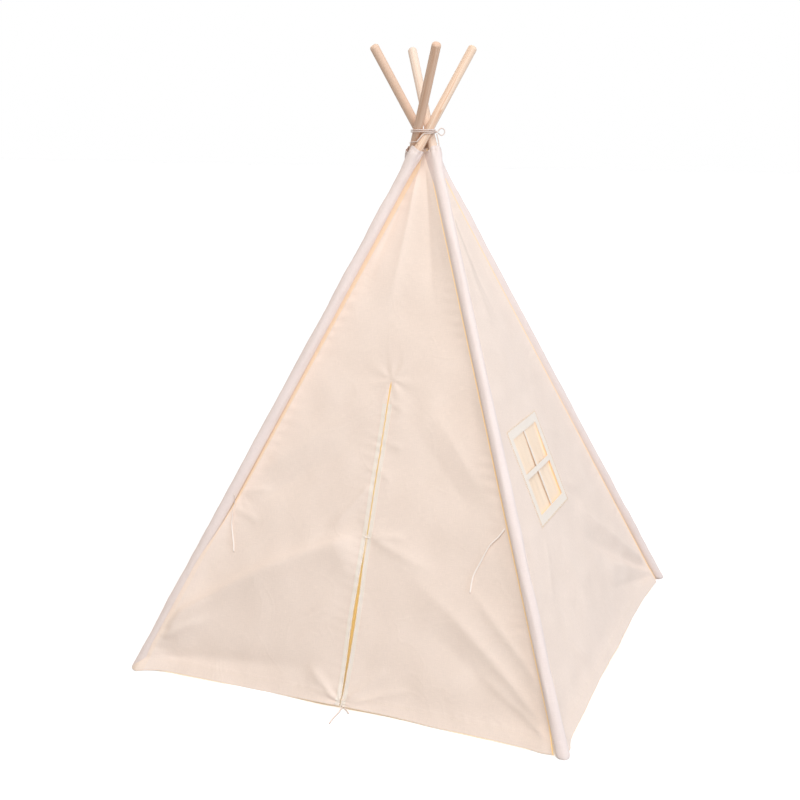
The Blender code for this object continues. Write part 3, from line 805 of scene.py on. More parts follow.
def dowel(name, corner, start, end):
    bm = bmesh.new()
    bmesh.ops.create_cone(
        bm, cap_ends=True, segments=dowel_sides, radius1=pole_radius, radius2=pole_radius,
        depth=end - start,
    )
    middle = Matrix.Translation(on_pole((start + end) / 2, corner))
    bmesh.ops.transform(bm, verts=bm.verts, matrix=middle @ pole_turn(corner).to_4x4())
    made = object_from(name, bm, pine[corner])
    made.data.set_sharp_from_angle(angle=math.radians(40))
    rounding = made.modifiers.new("sanded_ends", "BEVEL")
    rounding.width = tip_round
    rounding.segments = 5
    rounding.limit_method = "ANGLE"
    rounding.angle_limit = math.radians(60)
    return made


def span_on_pole(node, corner):
    """Where a node starts and ends along its pole."""
    axis = quarter_turn(corner) @ pole_axis
    foot = on_pole(0, corner)
    places = [(Vector(vert.co) - foot).dot(axis) for vert in frame["nodes"][node].data.vertices]
    return min(places), max(places)


def refinish(node, material):
    """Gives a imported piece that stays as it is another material."""
    materials = frame["nodes"][node].data.materials
    materials.clear()
    materials.append(material)


for corner, corner_name in enumerate(corner_names):
    start, end = span_on_pole(f"pole_{corner_name}_upper", corner)
    upper = dowel(f"dowel_upper_{corner_name}", corner, start, end)
    stands_for(upper, f"pole_{corner_name}_upper", f"pole_{corner_name}")
    refinish(f"pole_{corner_name}_lower", pine[corner])
print("the upper dowels run from", round(start, 3), "to", round(end, 3), "m up the poles")


# %% [markdown]
# The ferrules inside the sleeves are drawn steel tube. They are fine as they come, and only
# need a brushed finish.


# %% Steel
def steel_finish():
    made, tree, shader = new_material("brushed_steel")
    place = add_node(tree, "ShaderNodeTexCoord").outputs["Object"]
    lines = stretched(tree, place, 60, 60, 1400)
    brushed = add_node(tree, "ShaderNodeTexNoise", Vector=lines, Scale=1.0, Detail=2.0).outputs["Fac"]
    feed_all(tree, shader, {
        "Base Color": mixed(tree, brushed, linear(186, 188, 190), linear(214, 215, 216)),
        "Roughness": maths(tree, "MULTIPLY_ADD", brushed, 0.25, 0.25), "Metallic": 1.0,
    })
    return made


steel = steel_finish()
for corner_name in corner_names:
    refinish(f"pole_{corner_name}_ferrule", steel)
print(steel.name, "is on", len(corner_names), "ferrules")

# %% [markdown]
# ## The cover
# Each wall is cut flat and pulled tight between two poles, so its shape is a plane with shallow folds. They run
# where the cloth is pulled: out of the corners, from the slit's top and its tie, and down from the apex. A cloth
# simulation of so tight a sheet would give almost nothing, so the folds are placed one by one where the photograph
# shows them.
#
# Three helpers describe them. A ridge is one long fold. A fan is a set of folds that spread
# from one pulled point. A ripple is the small unevenness that is everywhere.


# %% Helpers for folds
def ridge(u, v, start, end, widths, height, below=1.0, bow=0.0, fades=(0.18, 0.35)):
    """A soft fold from one place to another, growing from its first width to its second.

    It may be broader on its right side, going from start to end, and bowed to its left.
    """
    start, end = np.array(start), np.array(end)
    run = end - start
    length = float(np.hypot(*run))
    share = ((u - start[0]) * run[0] + (v - start[1]) * run[1]) / length**2
    aside = ((v - start[1]) * run[0] - (u - start[0]) * run[1]) / length
    aside = aside - 4 * bow * np.clip(share, 0, 1) * (1 - np.clip(share, 0, 1))
    width = widths[0] + (widths[1] - widths[0]) * np.clip(share, 0, 1)
    width = np.where(aside < 0, width * below, width)
    taper = ease(share / fades[0]) * ease((1 - share) / fades[1])
    crest = np.sqrt((aside / width) ** 2 + 0.06) - math.sqrt(0.06)
    return height * taper * np.exp(-1.3 * crest)


def fan(u, v, centre, reach, height, folds, phase=0.0, first=0.0, last=2 * math.pi):
    """Folds that spread from a pulled point between two directions, fading with distance."""
    away = np.hypot(u - centre[0], v - centre[1])
    angle = (np.arctan2(v - centre[1], u - centre[0]) - first) % (2 * math.pi)
    inside = ease(angle / 0.3) * ease((last - first - angle) / 0.3) if last - first < 6 else 1.0
    fade = np.exp(-away / reach) * ease(away / (0.25 * reach))
    return height * inside * fade * np.cos(folds * angle + phase)


def ripple(u, v, size, height, seed):
    """Gentle random unevenness: a few waves in random directions."""
    random = np.random.default_rng(seed)
    total = np.zeros(np.broadcast(u, v).shape)
    for _ in range(9):
        angle, phase = random.uniform(0, 2 * math.pi, 2)
        turns = 2 * math.pi / (size * random.uniform(0.6, 1.6))
        total += np.sin(turns * (u * math.cos(angle) + v * math.sin(angle)) + phase)
    return height * total / 3


# %% [markdown]
# The front wall's folds, in metres from the floor and from the wall's middle. They fade out
# at the corner seams, where the cloth is sewn flat.

# %% The front wall's folds
fold_depth = 1.9
slit_tie_height = 0.437
front_ridges = (
    ((-0.578, 0.085), (0.012, 0.439), (0.013, 0.030), 0.0098, 3.2, 0.036, (0.12, 0.14)),
    ((-0.575, 0.066), (-0.400, 0.168), (0.006, 0.015), 0.0040, 1.6),
    ((-0.580, 0.034), (0.000, 0.090), (0.020, 0.056), -0.0046),
    ((-0.385, 0.520), (-0.010, 0.830), (0.030, 0.064), 0.0030, 1.0, 0.0, (0.3, 0.5)),
    ((-0.360, 0.465), (0.004, 0.745), (0.028, 0.060), -0.0038, 1.0, 0.0, (0.3, 0.5)),
    ((0.006, 0.585), (-0.100, 0.440), (0.008, 0.022), 0.0030),
    ((-0.392, 0.508), (-0.280, 0.530), (0.005, 0.014), 0.0022),
    ((-0.400, 0.470), (-0.300, 0.430), (0.006, 0.012), 0.0018),
    ((0.012, 0.440), (0.130, 0.450), (0.005, 0.014), 0.0022),
    ((0.018, 0.440), (0.260, 0.350), (0.010, 0.040), 0.0026, 1.0, 0.0, (0.2, 0.7)),
    ((0.565, 0.030), (0.070, 0.400), (0.014, 0.046), 0.0040, 1.0, -0.020, (0.18, 0.5)),
    ((0.540, 0.030), (0.120, 0.290), (0.014, 0.060), -0.0024, 1.0, 0.0, (0.18, 0.5)),
    ((0.560, 0.110), (0.280, 0.375), (0.010, 0.026), 0.0026),
    ((0.570, 0.018), (0.330, 0.165), (0.007, 0.026), 0.0032),
    ((0.345, 0.545), (0.080, 0.860), (0.030, 0.040), 0.0026, 1.0, 0.0, (0.3, 0.6)),
    ((0.300, 0.520), (0.050, 0.790), (0.026, 0.040), -0.0016, 1.0, 0.0, (0.3, 0.6)),
    ((0.020, 0.012), (0.135, 0.122), (0.006, 0.016), 0.0026),
    ((0.026, 0.008), (0.205, 0.082), (0.005, 0.015), 0.0022),
    ((0.003, 0.012), (-0.110, 0.095), (0.006, 0.018), 0.0026),
    ((0.014, 0.800), (0.070, 0.775), (0.003, 0.009), 0.0012),
    ((0.014, 0.690), (0.080, 0.680), (0.003, 0.010), 0.0014),
    ((0.014, 0.615), (0.060, 0.590), (0.003, 0.009), 0.0012),
    ((0.000, 1.475), (-0.030, 1.000), (0.005, 0.040), 0.0030),
    ((0.012, 1.475), (0.100, 1.040), (0.004, 0.030), -0.0022),
    ((-0.010, 1.470), (-0.110, 1.080), (0.004, 0.030), -0.0020),
)


def slit_creases(u, v):
    """Short creases that run level out of the slit's stitched edges."""
    beside = np.exp(-np.abs(u - slit_offset) / 0.030) * ease((slit_top - v) / 0.05)
    side = np.sign(u - slit_offset)
    return 0.0012 * beside * ripple(side * 3.0, v - side * 0.2 * (u - slit_offset), 0.024, 1.0, 5)


front_fans = (
    ((slit_offset, slit_top), 0.050, 0.0024, 7, 0.6),
    ((slit_offset, slit_tie_height), 0.035, 0.0010, 6, 1.2),
    ((-0.385, 0.500), 0.040, 0.0020, 9, 0.0),
    ((0.380, 0.505), 0.030, 0.0012, 8, 0.4),
    ((slit_offset, 0.010), 0.050, 0.0018, 9, 0.9),
)


def front_folds(u, v):
    lift = fold_depth * sum(ridge(u, v, *fold) for fold in front_ridges)
    for pulled in front_fans:
        lift = lift + fan(u, v, *pulled)
    return lift + slit_creases(u, v) + ripple(u, v, 0.30, 0.0022, 3) + ripple(u, v, 0.09, 0.0007, 4)


print("the front wall has", len(front_ridges), "ridges and", len(front_fans), "fans")

# %% [markdown]
# The other walls have ridges of the same kind, with ripples on two scales. The right wall's
# follow the photograph. The back and left walls aren't in it, so theirs are only likely.

# %% The other walls' folds
right_ridges = (
    ((0.575, 0.050), (0.085, 0.440), (0.012, 0.034), 0.0066),
    ((0.575, 0.030), (0.080, 0.340), (0.012, 0.040), -0.0060),
    ((0.580, 0.022), (0.160, 0.220), (0.010, 0.034), 0.0036),
    ((0.580, 0.012), (0.140, 0.135), (0.008, 0.026), -0.0030),
    ((0.075, 0.520), (0.230, 0.420), (0.007, 0.020), 0.0024),
    ((0.080, 0.500), (0.200, 0.390), (0.006, 0.018), -0.0018),
    ((0.080, 0.670), (0.240, 0.600), (0.008, 0.026), 0.0020),
    ((-0.160, 0.430), (-0.300, 0.240), (0.008, 0.030), 0.0012),
    ((0.000, 1.475), (0.010, 0.900), (0.006, 0.045), 0.0030),
    ((0.010, 1.475), (0.080, 0.960), (0.005, 0.034), -0.0022),
    ((-0.060, 0.400), (-0.080, 0.060), (0.040, 0.080), 0.0016),
)
back_ridges = (
    ((-0.560, 0.030), (-0.100, 0.420), (0.020, 0.070), 0.0070),
    ((0.560, 0.030), (0.080, 0.380), (0.020, 0.070), 0.0066),
    ((-0.560, 0.050), (-0.330, 0.120), (0.012, 0.040), -0.0040),
    ((0.560, 0.060), (0.260, 0.140), (0.012, 0.040), -0.0036),
    ((0.000, 1.470), (0.050, 0.760), (0.006, 0.060), 0.0054),
    ((-0.010, 1.440), (-0.110, 0.860), (0.006, 0.050), -0.0040),
    ((0.020, 0.520), (-0.040, 0.050), (0.040, 0.090), -0.0046),
    ((0.220, 0.380), (0.260, 0.040), (0.030, 0.060), 0.0032),
    ((-0.260, 0.340), (-0.220, 0.040), (0.030, 0.060), 0.0030),
)
left_ridges = (
    ((-0.560, 0.030), (-0.120, 0.360), (0.020, 0.060), 0.0066),
    ((0.560, 0.030), (0.060, 0.340), (0.020, 0.070), 0.0070),
    ((0.560, 0.060), (0.300, 0.120), (0.012, 0.036), -0.0036),
    ((-0.020, 1.460), (-0.110, 0.820), (0.006, 0.060), 0.0046),
    ((0.030, 1.420), (0.130, 0.900), (0.006, 0.050), -0.0036),
    ((0.040, 0.600), (0.070, 0.050), (0.040, 0.090), -0.0050),
    ((-0.240, 0.360), (-0.300, 0.040), (0.030, 0.060), 0.0030),
)


def folded(ridges, size, height, seed):
    """A function for a wall's folds: its own ridges, and ripples on two scales."""
    def folds(u, v):
        lift = fold_depth * sum(ridge(u, v, *fold) for fold in ridges)
        return lift + ripple(u, v, size, height, seed) + ripple(u, v, 0.09, 0.0007, seed + 1)

    return folds


right_folds = folded(right_ridges, 0.32, 0.0020, 11)
back_folds = folded(back_ridges, 0.30, 0.0022, 21)
left_folds = folded(left_ridges, 0.30, 0.0022, 31)
counts = [len(ridges) for ridges in (right_ridges, back_ridges, left_ridges)]
print("ridges on the right, back and left walls:", counts)

# %% [markdown]
# The bottom of each wall is turned up twice and sewn, which makes a band that stands a little
# proud, with small puckers along its stitches. The corner seams pucker in the same way. Near
# the feet the cloth is slack and wraps over the front of the sleeves, and where the slit is
# tied together the hem is drawn up from the floor.

# %% Edges of the cloth
hem_height = 0.004
hem_gap = 0.0016
hem_waver = 0.0006
hem_band = 0.033
hem_proud = 0.0002
hem_step = 0.0035
hem_turn = 0.008
hem_turn_height = 0.07
seam_margin = 0.002
seam_fade = 0.030
wall_top_half_width = 0.002
panel_top = slope_length * (1 - wall_top_half_width / seam_half)
settled_height = 0.06
sleeve_radius = 0.0155
wrap_radius = sleeve_radius + 0.0016
contact_angle = math.radians(52)
all_the_way = 3.0
wraps = {0: (0.52, 0.0), 1: (all_the_way, 0.0), 2: (all_the_way, 0.0), 3: (all_the_way, all_the_way)}
wrap_fade = 0.030
seam_lift = 0.009
seam_lift_fade = 0.022
foot_hook = math.radians(140)
foot_hook_height = 0.036
foot_hook_fade = 0.028
seam_pucker = 0.0008
seam_pucker_step = 0.0052
hem_pucker = 0.0005
hem_pucker_step = 0.0045
foot_flares = {0: (0.000, 0.012), 1: (0.002, 0.004), 2: (0.006, 0.006), 3: (0.006, 0.003)}
hem_rises = {
    0: (0.060, 0.160, 0.0040), 1: (0.000, 0.250, 0.0020),
    2: (-0.050, 0.300, 0.0050), 3: (0.080, 0.250, 0.0045),
}
painted_seam_strengths = {0: (0.4, 1.0), 1: (0.0, 0.8), 2: (0.0, 0.5), 3: (0.0, 0.0)}


def wall_view(point):
    """A place's distance across the front wall, up its slope and out of it."""
    out, up = point.y + seam_half, point.z
    cosine, sine = math.cos(wall_tilt), math.sin(wall_tilt)
    return point.x, out * sine + up * cosine, up * sine - out * cosine


def pole_beside(v, side):
    """How far beyond the seam the pole passes at this height, and how far out of the wall."""
    corner = 0 if side < 0 else 1
    (u0, v0, w0), (u1, v1, w1) = (wall_view(on_pole(far, corner)) for far in (0.0, 1.5))
    share = (v - v0) / (v1 - v0)
    return side * (u0 + (u1 - u0) * share) - seam_reach(v), w0 + (w1 - w0) * share


pole_slant = math.hypot(1.0, math.tan(math.asin(abs(pole_axis.x))))


def seam_edge(v, side, turn):
    """Where the wall's edge lies on the sleeve: how far beyond the seam, and how far out."""
    top = wraps[turn][0 if side < 0 else 1]
    beyond, out = pole_beside(v, side)
    high = out + wrap_radius * math.sin(contact_angle)
    share = ease((top - v) / (0.45 * top)) if top else v * 0
    lift = (high * share + np.minimum(seam_lift, high) * (1 - share)) * ease((panel_top - v) / 0.12)
    chord = np.sqrt(np.maximum(wrap_radius**2 - (lift - out) ** 2, 0))
    return beyond - pole_slant * chord, lift, share


def corner_flare(u, v, turn):
    """How far the cloth beside the seams stands out, over the sleeves."""
    total = 0.0
    for side, flare in zip((-1, 1), foot_flares[turn]):
        edge, lift, share = seam_edge(v, side, turn)
        beyond = side * u - seam_reach(v)
        away = np.maximum(edge - beyond, 0)
        total = total + lift * np.exp(-away / (seam_lift_fade + (wrap_fade - seam_lift_fade) * share))
        total = total + flare * ease((settled_height - v) / settled_height) * np.exp(-away / 0.12)
        aside, out = pole_beside(v, side)
        over = np.clip(np.abs(beyond - aside) / (wrap_radius * pole_slant), 0, 1)
        bend = out + wrap_radius * np.sqrt(1 - over**2) - lift
        total = total + np.where(beyond > edge + 0.0001, bend, 0.0)
    return total


def wall_reach(v, side, turn):
    """How far across the wall its cloth goes: to its edge on the sleeve, or round the foot."""
    edge, _, _ = seam_edge(v, side, turn)
    reach = seam_reach(v) + edge
    if (turn, side) == (0, -1):
        hooked = ease((foot_hook_height - v) / foot_hook_fade)
        hook = contact_angle + (foot_hook - contact_angle) * hooked
        reach = reach + wrap_radius * pole_slant * (math.cos(contact_angle) - np.cos(hook))
    return np.maximum(reach, wall_top_half_width)


def from_edge(u, v, turn):
    """How far a place is from the wall's edge, level."""
    return np.where(u < 0, wall_reach(v, -1, turn), wall_reach(v, 1, turn)) - np.abs(u)


def seam_map(u, v, turn):
    """How far a place is from the sleeve's flank, level, and how strong the painted gold shade and glow are there.
    """
    both = []
    for side, strength in zip((-1, 1), painted_seam_strengths[turn]):
        _, _, share = seam_edge(v, side, turn)
        aside, _ = pole_beside(v, side)
        flank = seam_reach(v) + aside - wrap_radius * pole_slant
        both.append((flank - side * u, strength * (1 - 0.8 * share)))
    return np.stack([np.where(u < 0, left, right) for left, right in zip(*both)], axis=-1)


def edge_puckers(u, v, turn):
    """Small ripples square to the corner seams and to the hem's stitches."""
    seed = 100 * turn + 1
    inside = from_edge(u, v, turn)
    phase = ripple(u * 0 + np.sign(u) * 3, v, 0.11, 2.0, seed)
    strength = np.clip(0.25 + ripple(np.sign(u) * 5, v, 0.22, 1.0, seed + 3), 0.0, 1.4)
    near_seam = np.exp(-((inside - 0.020) / 0.022) ** 2)
    beside = seam_pucker * strength * near_seam * np.sin(v / seam_pucker_step + phase)
    wander = ripple(u, v * 0 + 2, 0.13, 2.0, seed + 1)
    hem = hem_pucker * np.exp(-((v - hem_band) / 0.010) ** 2) * np.sin(u / hem_pucker_step + wander)
    return beside * ease(inside / 0.006) + hem


def wall_lift(folds, u, v, turn):
    """How far the outer face stands out of the wall's plane."""
    inner = ease((from_edge(u, v, turn) - seam_margin) / seam_fade)
    band = hem_proud * (1 - ease((v - hem_band) / hem_step))
    band = band + hem_turn * np.clip(1 - v / hem_turn_height, 0, 2) ** 2
    raised = folds(u, v) * inner + edge_puckers(u, v, turn) + band * inner
    return raised + corner_flare(u, v, turn)


def settled(u, v, turn):
    """Moves the hem, and the cloth just above it, to where it hangs."""
    middle, width, rise = hem_rises[turn]
    at_hem = np.full_like(u, hem_height)
    inner = ease((from_edge(u, at_hem, turn) - seam_margin) / seam_fade)
    lift = corner_flare(u, at_hem, turn) + hem_turn * inner
    height = hem_gap + rise * np.exp(-(((u - middle) / width) ** 2))
    height = height + hem_waver * ripple(u, 0 * u, 0.2, 0.5, 7)
    low = (height - lift * math.sin(wall_tilt)) / math.cos(wall_tilt)
    share = (v - hem_height) / (settled_height - hem_height)
    return np.where(v < settled_height, low + (settled_height - low) * share, v)


# %% [markdown]
# A wall is a grid of points. Its rows lie closer together at the hem, where the band needs
# them, and a window can be cut out of it along straight lines before it gets its thickness.

# %% Helpers for sheets
cloth_cell = 0.0075
wall_thickness = 0.0012
plain_border = 0.06
inner_share = 0.93
edge_share = 0.07
edge_points = 16
hem_cell = 0.0018
fine_top = hem_band + 0.012


def edge_columns(count):
    """Shares across a sheet from 0 to 1, closer together at its outer edge."""
    beside_edge = 1 - edge_share * np.linspace(1, 0, edge_points) ** 1.4
    return np.concatenate([np.linspace(0, inner_share, count)[:-1], beside_edge])


def sheet_grid(name, columns, rows, place, material, uv_place, edge_place=None):
    """A grid object whose points lie where place says for arrays of column and row values."""
    bm = bmesh.new()
    bmesh.ops.create_grid(bm, x_segments=len(columns) - 1, y_segments=len(rows) - 1, size=0.5)
    raw = np.array([vert.co for vert in bm.verts])
    i = np.rint((raw[:, 0] + 0.5) * (len(columns) - 1)).astype(int)
    j = np.rint((raw[:, 1] + 0.5) * (len(rows) - 1)).astype(int)
    across, up = np.asarray(columns)[i], np.asarray(rows)[j]
    for vert, point in zip(bm.verts, place(across, up)):
        vert.co = point
    flat = uv_place(across, up)
    edge = edge_place(across, up) if edge_place else np.stack([1 + 0 * up, 0 * up], axis=-1)
    for map_name, values in (("cloth", flat), ("edge", edge)):
        layer = bm.loops.layers.uv.new(map_name)
        for face in bm.faces:
            for loop in face.loops:
                loop[layer].uv = values[loop.vert.index]
    bmesh.ops.recalc_face_normals(bm, faces=bm.faces)
    return object_from(name, bm, material)


def outwards(made, direction):
    """Turns an open sheet's faces to look in a direction, before it gets its thickness."""
    normals = sum((face.normal * face.area for face in made.data.polygons), Vector())
    if normals.dot(Vector(direction)) < 0:
        made.data.flip_normals()


def thicken(made, thickness, back_painted_light=None):
    """Gives the sheet its thickness, on the side away from its faces, and sharp cut edges.

    The back's painted light is a finish for its back, which leaves a plain border beside the wall's edge.
    """
    shell = made.modifiers.new("thickness", "SOLIDIFY")
    shell.thickness = thickness
    shell.offset = -1
    if back_painted_light:
        made.data.materials.append(back_painted_light)
        shell.material_offset = 1
    applied(made)
    made.data.set_sharp_from_angle(angle=math.radians(50))
    if back_painted_light:
        edge = made.data.uv_layers["edge"].data
        for face in made.data.polygons:
            if edge[face.loop_start].uv[0] < plain_border:
                face.material_index = 0


def applied(made):
    """Applies the object's modifiers to its mesh."""
    graph = bpy.context.evaluated_depsgraph_get()
    graph.update()
    mesh = bpy.data.meshes.new_from_object(made.evaluated_get(graph))
    made.modifiers.clear()
    made.data = mesh
    mesh.name = made.name


def joined(name, pieces, weld=0.0):
    """Several objects' meshes as one object, with points closer than the weld made one."""
    bm = bmesh.new()
    material = pieces[0].data.materials[0]
    for piece in pieces:
        bm.from_mesh(piece.data)
        bpy.data.objects.remove(piece, do_unlink=True)
    if weld:
        bmesh.ops.remove_doubles(bm, verts=bm.verts, dist=weld)
    return object_from(name, bm, material)


def spread_rows(low, high):
    """Row heights from low to high, close together at the hem."""
    hem = np.arange(low, fine_top, hem_cell)
    above = np.linspace(fine_top, high, max(2, round((high - hem_band) / cloth_cell)))
    return np.concatenate([hem[hem < fine_top - hem_cell / 4], above])


def whole_wall(name, folds, turn):
    """One sheet from sleeve to sleeve."""
    rows = spread_rows(hem_height, panel_top)
    half = edge_columns(round(inner_share * seam_half / cloth_cell))
    columns = np.concatenate([-half[:0:-1], half])

    def flat(across, v):
        u = across * np.where(across < 0, wall_reach(v, -1, turn), wall_reach(v, 1, turn))
        return u, settled(u, v, turn)

    def place(across, v):
        u, up = flat(across, v)
        return wall_place(u, up, wall_lift(folds, u, up, turn), turn)

    made = sheet_grid(
        name, columns, rows, place, canvas, lambda a, v: np.stack(flat(a, v), axis=-1),
        lambda a, v: seam_map(flat(a, v)[0], v, turn),
    )
    outwards(made, wall_outward(turn))
    return made


def declare_wall(made, node, turn):
    """Puts a wall's sheet in its place."""
    stands_for(made, node, node, turn)


# %% [markdown]
# The back and left walls are plain: one sheet each. Their sewing is only noted down here, as
# lines of places, and the stitches are laid on all such lines at the end.

# %% Back and left walls
stitch_lines = {}
stitch_sample = 0.006
hem_sewn_height = hem_band - 0.004
hem_sewn_half = seam_half - 0.012


def add_stitches(body, points, outward):
    """Keeps a line of sewing for later: its places, and the way out of the cloth there."""
    stitch_lines.setdefault(body, []).append((np.asarray(points), np.asarray(outward)))


def hem_stitches(body, folds, turn, low, high):
    """Sewing along the hem, from one place across the wall to another."""
    u = np.linspace(low, high, max(8, round((high - low) / stitch_sample)))
    v = settled(u, np.full_like(u, hem_sewn_height), turn)
    add_stitches(body, wall_place(u, v, wall_lift(folds, u, v, turn), turn), wall_outward(turn))


for name, folds, turn in (("back_wall", back_folds, 2), ("left_wall", left_folds, 3)):
    cover = whole_wall(f"{name}_cover", folds, turn)
    thicken(cover, wall_thickness, canvas_inside)
    declare_wall(cover, name, turn)
    hem_stitches(name, folds, turn, -hem_sewn_half, hem_sewn_half)
    print(cover.name, "has", len(cover.data.polygons), "faces")

# %% [markdown]
# ## Door
# The slit divides the lower front wall into two flaps, and each folds back on a straight line
# from the slit's top to the hem. So the front wall is made as three sheets that share one
# surface: the fixed part, and the two flaps, which meet it edge to edge on those lines.

# %% The front wall's sheets
slit_gap = 0.0036
slit_belly = 0.0035
facing_width = 0.012
half_columns = 52
weld_distance = 0.00002
flap_top = slit_top * (1 - (slit_gap + 2 * facing_width / 3) / flap_hem_width)


def slit_half(v):
    """Half the gap at the slit, which opens between its tie and its foot."""
    belly = slit_belly * np.sin(np.pi * np.clip(v / slit_tie_height, 0, 1)) ** 2
    return (slit_gap / 2 + belly) * ease((slit_top - v) / 0.02)


def flap_reach(v):
    """From the slit's middle to the line that a flap folds back on."""
    return flap_hem_width * np.clip(1 - v / slit_top, 0, 1)


def front_lift(u, v):
    return wall_lift(front_folds, u, v, 0)


def front_piece(name, inner, outer, rows, columns, material=canvas, seamed=False):
    """A sheet of the front wall between two lines, given as functions of the height."""
    seam_columns = columns - edge_points + 1
    shares = edge_columns(seam_columns) if seamed else np.linspace(0, 1, columns)

    def flat(across, v):
        u = inner(v) + (outer(v) - inner(v)) * across
        return u, settled(u, v, 0)

    def place(across, v):
        u, up = flat(across, v)
        return wall_place(u, up, front_lift(u, up))

    made = sheet_grid(
        name, shares, rows, place, material, lambda across, v: np.stack(flat(across, v), axis=-1),
        (lambda across, v: seam_map(flat(across, v)[0], v, 0)) if seamed else None,
    )
    outwards(made, wall_outward())
    return made


def middle_line(v):
    """The line on which the two halves of the wall above the slit meet."""
    return slit_offset * (1 - ease((v - slit_top) / (panel_top - slit_top)))


def make_front_wall():
    """The fixed part of the front wall, as one sheet with the flaps' triangle open."""
    halves = []
    below = spread_rows(hem_height, flap_top)
    beside = np.linspace(flap_top, slit_top, 8)
    above = np.linspace(slit_top, panel_top, round((panel_top - slit_top) / cloth_cell))
    for side in (-1, 1):
        outer = lambda v, side=side: side * wall_reach(v, side, 0)
        fold_line = lambda v, side=side: slit_offset + side * flap_reach(v)
        slit_edge = lambda v, side=side: slit_offset + side * slit_half(v)
        for part, inner, rows in (
            ("front_low", fold_line, below), ("front_top_of_slit", slit_edge, beside),
            ("front_high", middle_line, above),
        ):
            halves.append(front_piece(part, inner, outer, rows, half_columns, seamed=True))
    return joined("front_wall_cover", halves, weld_distance)


front_cover = make_front_wall()
outwards(front_cover, wall_outward())
thicken(front_cover, wall_thickness, canvas_inside)
declare_wall(front_cover, "front_wall", 0)
hem_stitches("front_wall", front_folds, 0, -hem_sewn_half, slit_offset - flap_hem_width)
hem_stitches("front_wall", front_folds, 0, slit_offset + flap_hem_width, hem_sewn_half)
print("the front wall's fixed part has", len(front_cover.data.polygons), "faces")

# %% [markdown]
# Each flap has a facing sewn down its slit edge. It is a strip of the same cotton, a little
# lighter, with a line of stitches near each side.

# %% Door flaps and facings
facing_thickness = 0.0007
facing_lift = 0.0003
facing_face = facing_lift + facing_thickness
facing_top = flap_top * (1 - facing_width / flap_hem_width)
facing_stitches = (0.0022, facing_width - 0.0018)


def make_facing(side, name):
    """The strip down a flap's slit edge, which it reaches just past."""
    rows = spread_rows(hem_height, facing_top)
    inner = lambda v: slit_offset + side * (slit_half(v) - 0.0001)
    outer = lambda v: slit_offset + side * (slit_half(v) + facing_width)
    strip = front_piece(f"slit_facing_{name}_cloth", inner, outer, rows, 5, trim_tape)
    strip.data.transform(Matrix.Translation(wall_outward() * facing_face))
    thicken(strip, facing_thickness)
    stands_for(strip, f"slit_facing_{name}", f"door_flap_{name}", 0)
    return strip


def make_flap(side, name):
    body = f"door_flap_{name}"
    rows = spread_rows(hem_height, flap_top)
    edge = lambda v: slit_offset + side * slit_half(v)
    fold = lambda v: slit_offset + side * flap_reach(v)
    flap = front_piece(f"{body}_cloth", edge, fold, rows, 36)
    thicken(flap, wall_thickness)
    stands_for(flap, body, body, 0)
    strip = make_facing(side, name)
    for off in facing_stitches:
        v = np.linspace(0.02, facing_top - 0.01, round(facing_top / stitch_sample))
        u = slit_offset + side * (slit_half(v) + off)
        add_stitches(body, wall_place(u, v, front_lift(u, v) + facing_face), wall_outward())
    across = (slit_gap + facing_width + 0.01, flap_hem_width - 0.015)
    hem_stitches(body, front_folds, 0, *sorted(slit_offset + side * far for far in across))
    return flap


door_flaps = [make_flap(side, name) for side, name in ((-1, "left"), (1, "right"))]
for piece in (*foot_tails, foot_knot):
    gather(piece, 0)
print("door flaps:", ", ".join(flap.name for flap in door_flaps))


# %% [markdown]
# A short tape across the slit holds its two edges together half way up. It is a soft pad of
# woven tape with its ends sewn down, so it is thickest between them.


# %% The tie across the slit
slit_tie_length = 0.018
slit_tie_width = 0.006
slit_tie_thickness = 0.0011
slit_tie_face = 0.0014
slit_tie_pad = 0.0008


def make_slit_tie():
    def place(across, up):
        bulge = np.sin(np.pi * across)
        u = slit_offset + (across - 0.5) * slit_tie_length
        v = slit_tie_height + (up - 0.5) * slit_tie_width * (1 - 0.25 * bulge)
        lift = front_lift(u, v) + facing_face + slit_tie_face + slit_tie_pad * bulge
        return wall_place(u, v, lift)

    made = sheet_grid(
        "slit_tie_tape", np.linspace(0, 1, 15), np.linspace(0, 1, 7), place, trim_tape,
        lambda a, b: np.stack([a * slit_tie_length, b * slit_tie_width], axis=-1),
    )
    outwards(made, wall_outward())
    thicken(made, slit_tie_thickness)
    stands_for(made, "slit_tie", "door_flap_left", 0)


make_slit_tie()
print("the slit's tie is", round(slit_tie_height, 3), "m up the wall")

# %% [markdown]
# The two ties that hold the open door are flat cotton tapes. Each is sewn into a corner seam
# and hangs down the front wall. A flat section follows the route, wider at its root where the
# tape is doubled.

# %% Door ties
door_tie_left_route = (
    (-0.3840, 0.4980, 0.0022), (-0.3885, 0.4740, 0.0028), (-0.3900, 0.4510, 0.0030),
    (-0.3890, 0.4200, 0.0030), (-0.3810, 0.3880, 0.0028), (-0.3740, 0.3640, 0.0028),
    (-0.3710, 0.3460, 0.0028),
)
door_tie_right_route = (
    (0.3805, 0.5085, 0.0022), (0.3670, 0.4870, 0.0032), (0.3480, 0.4640, 0.0032),
    (0.3370, 0.4400, 0.0030), (0.3280, 0.4160, 0.0028), (0.3180, 0.3920, 0.0028),
    (0.3130, 0.3710, 0.0028), (0.3120, 0.3380, 0.0028),
)
tape_half_thickness = 0.0006
tape_sides = 16
tape_step = 0.003


def tape_ring(here, ahead, flat_way, half_width):
    """The rounded section of a flat tape."""
    across = ahead.cross(flat_way).normalized()
    ring = []
    for k in range(tape_sides):
        angle = 2 * math.pi * k / tape_sides
        wide = math.copysign(abs(math.cos(angle)) ** 0.6, math.cos(angle)) * half_width
        thin = math.sin(angle) * tape_half_thickness
        ring.append(here + across * wide + flat_way * thin)
    return ring


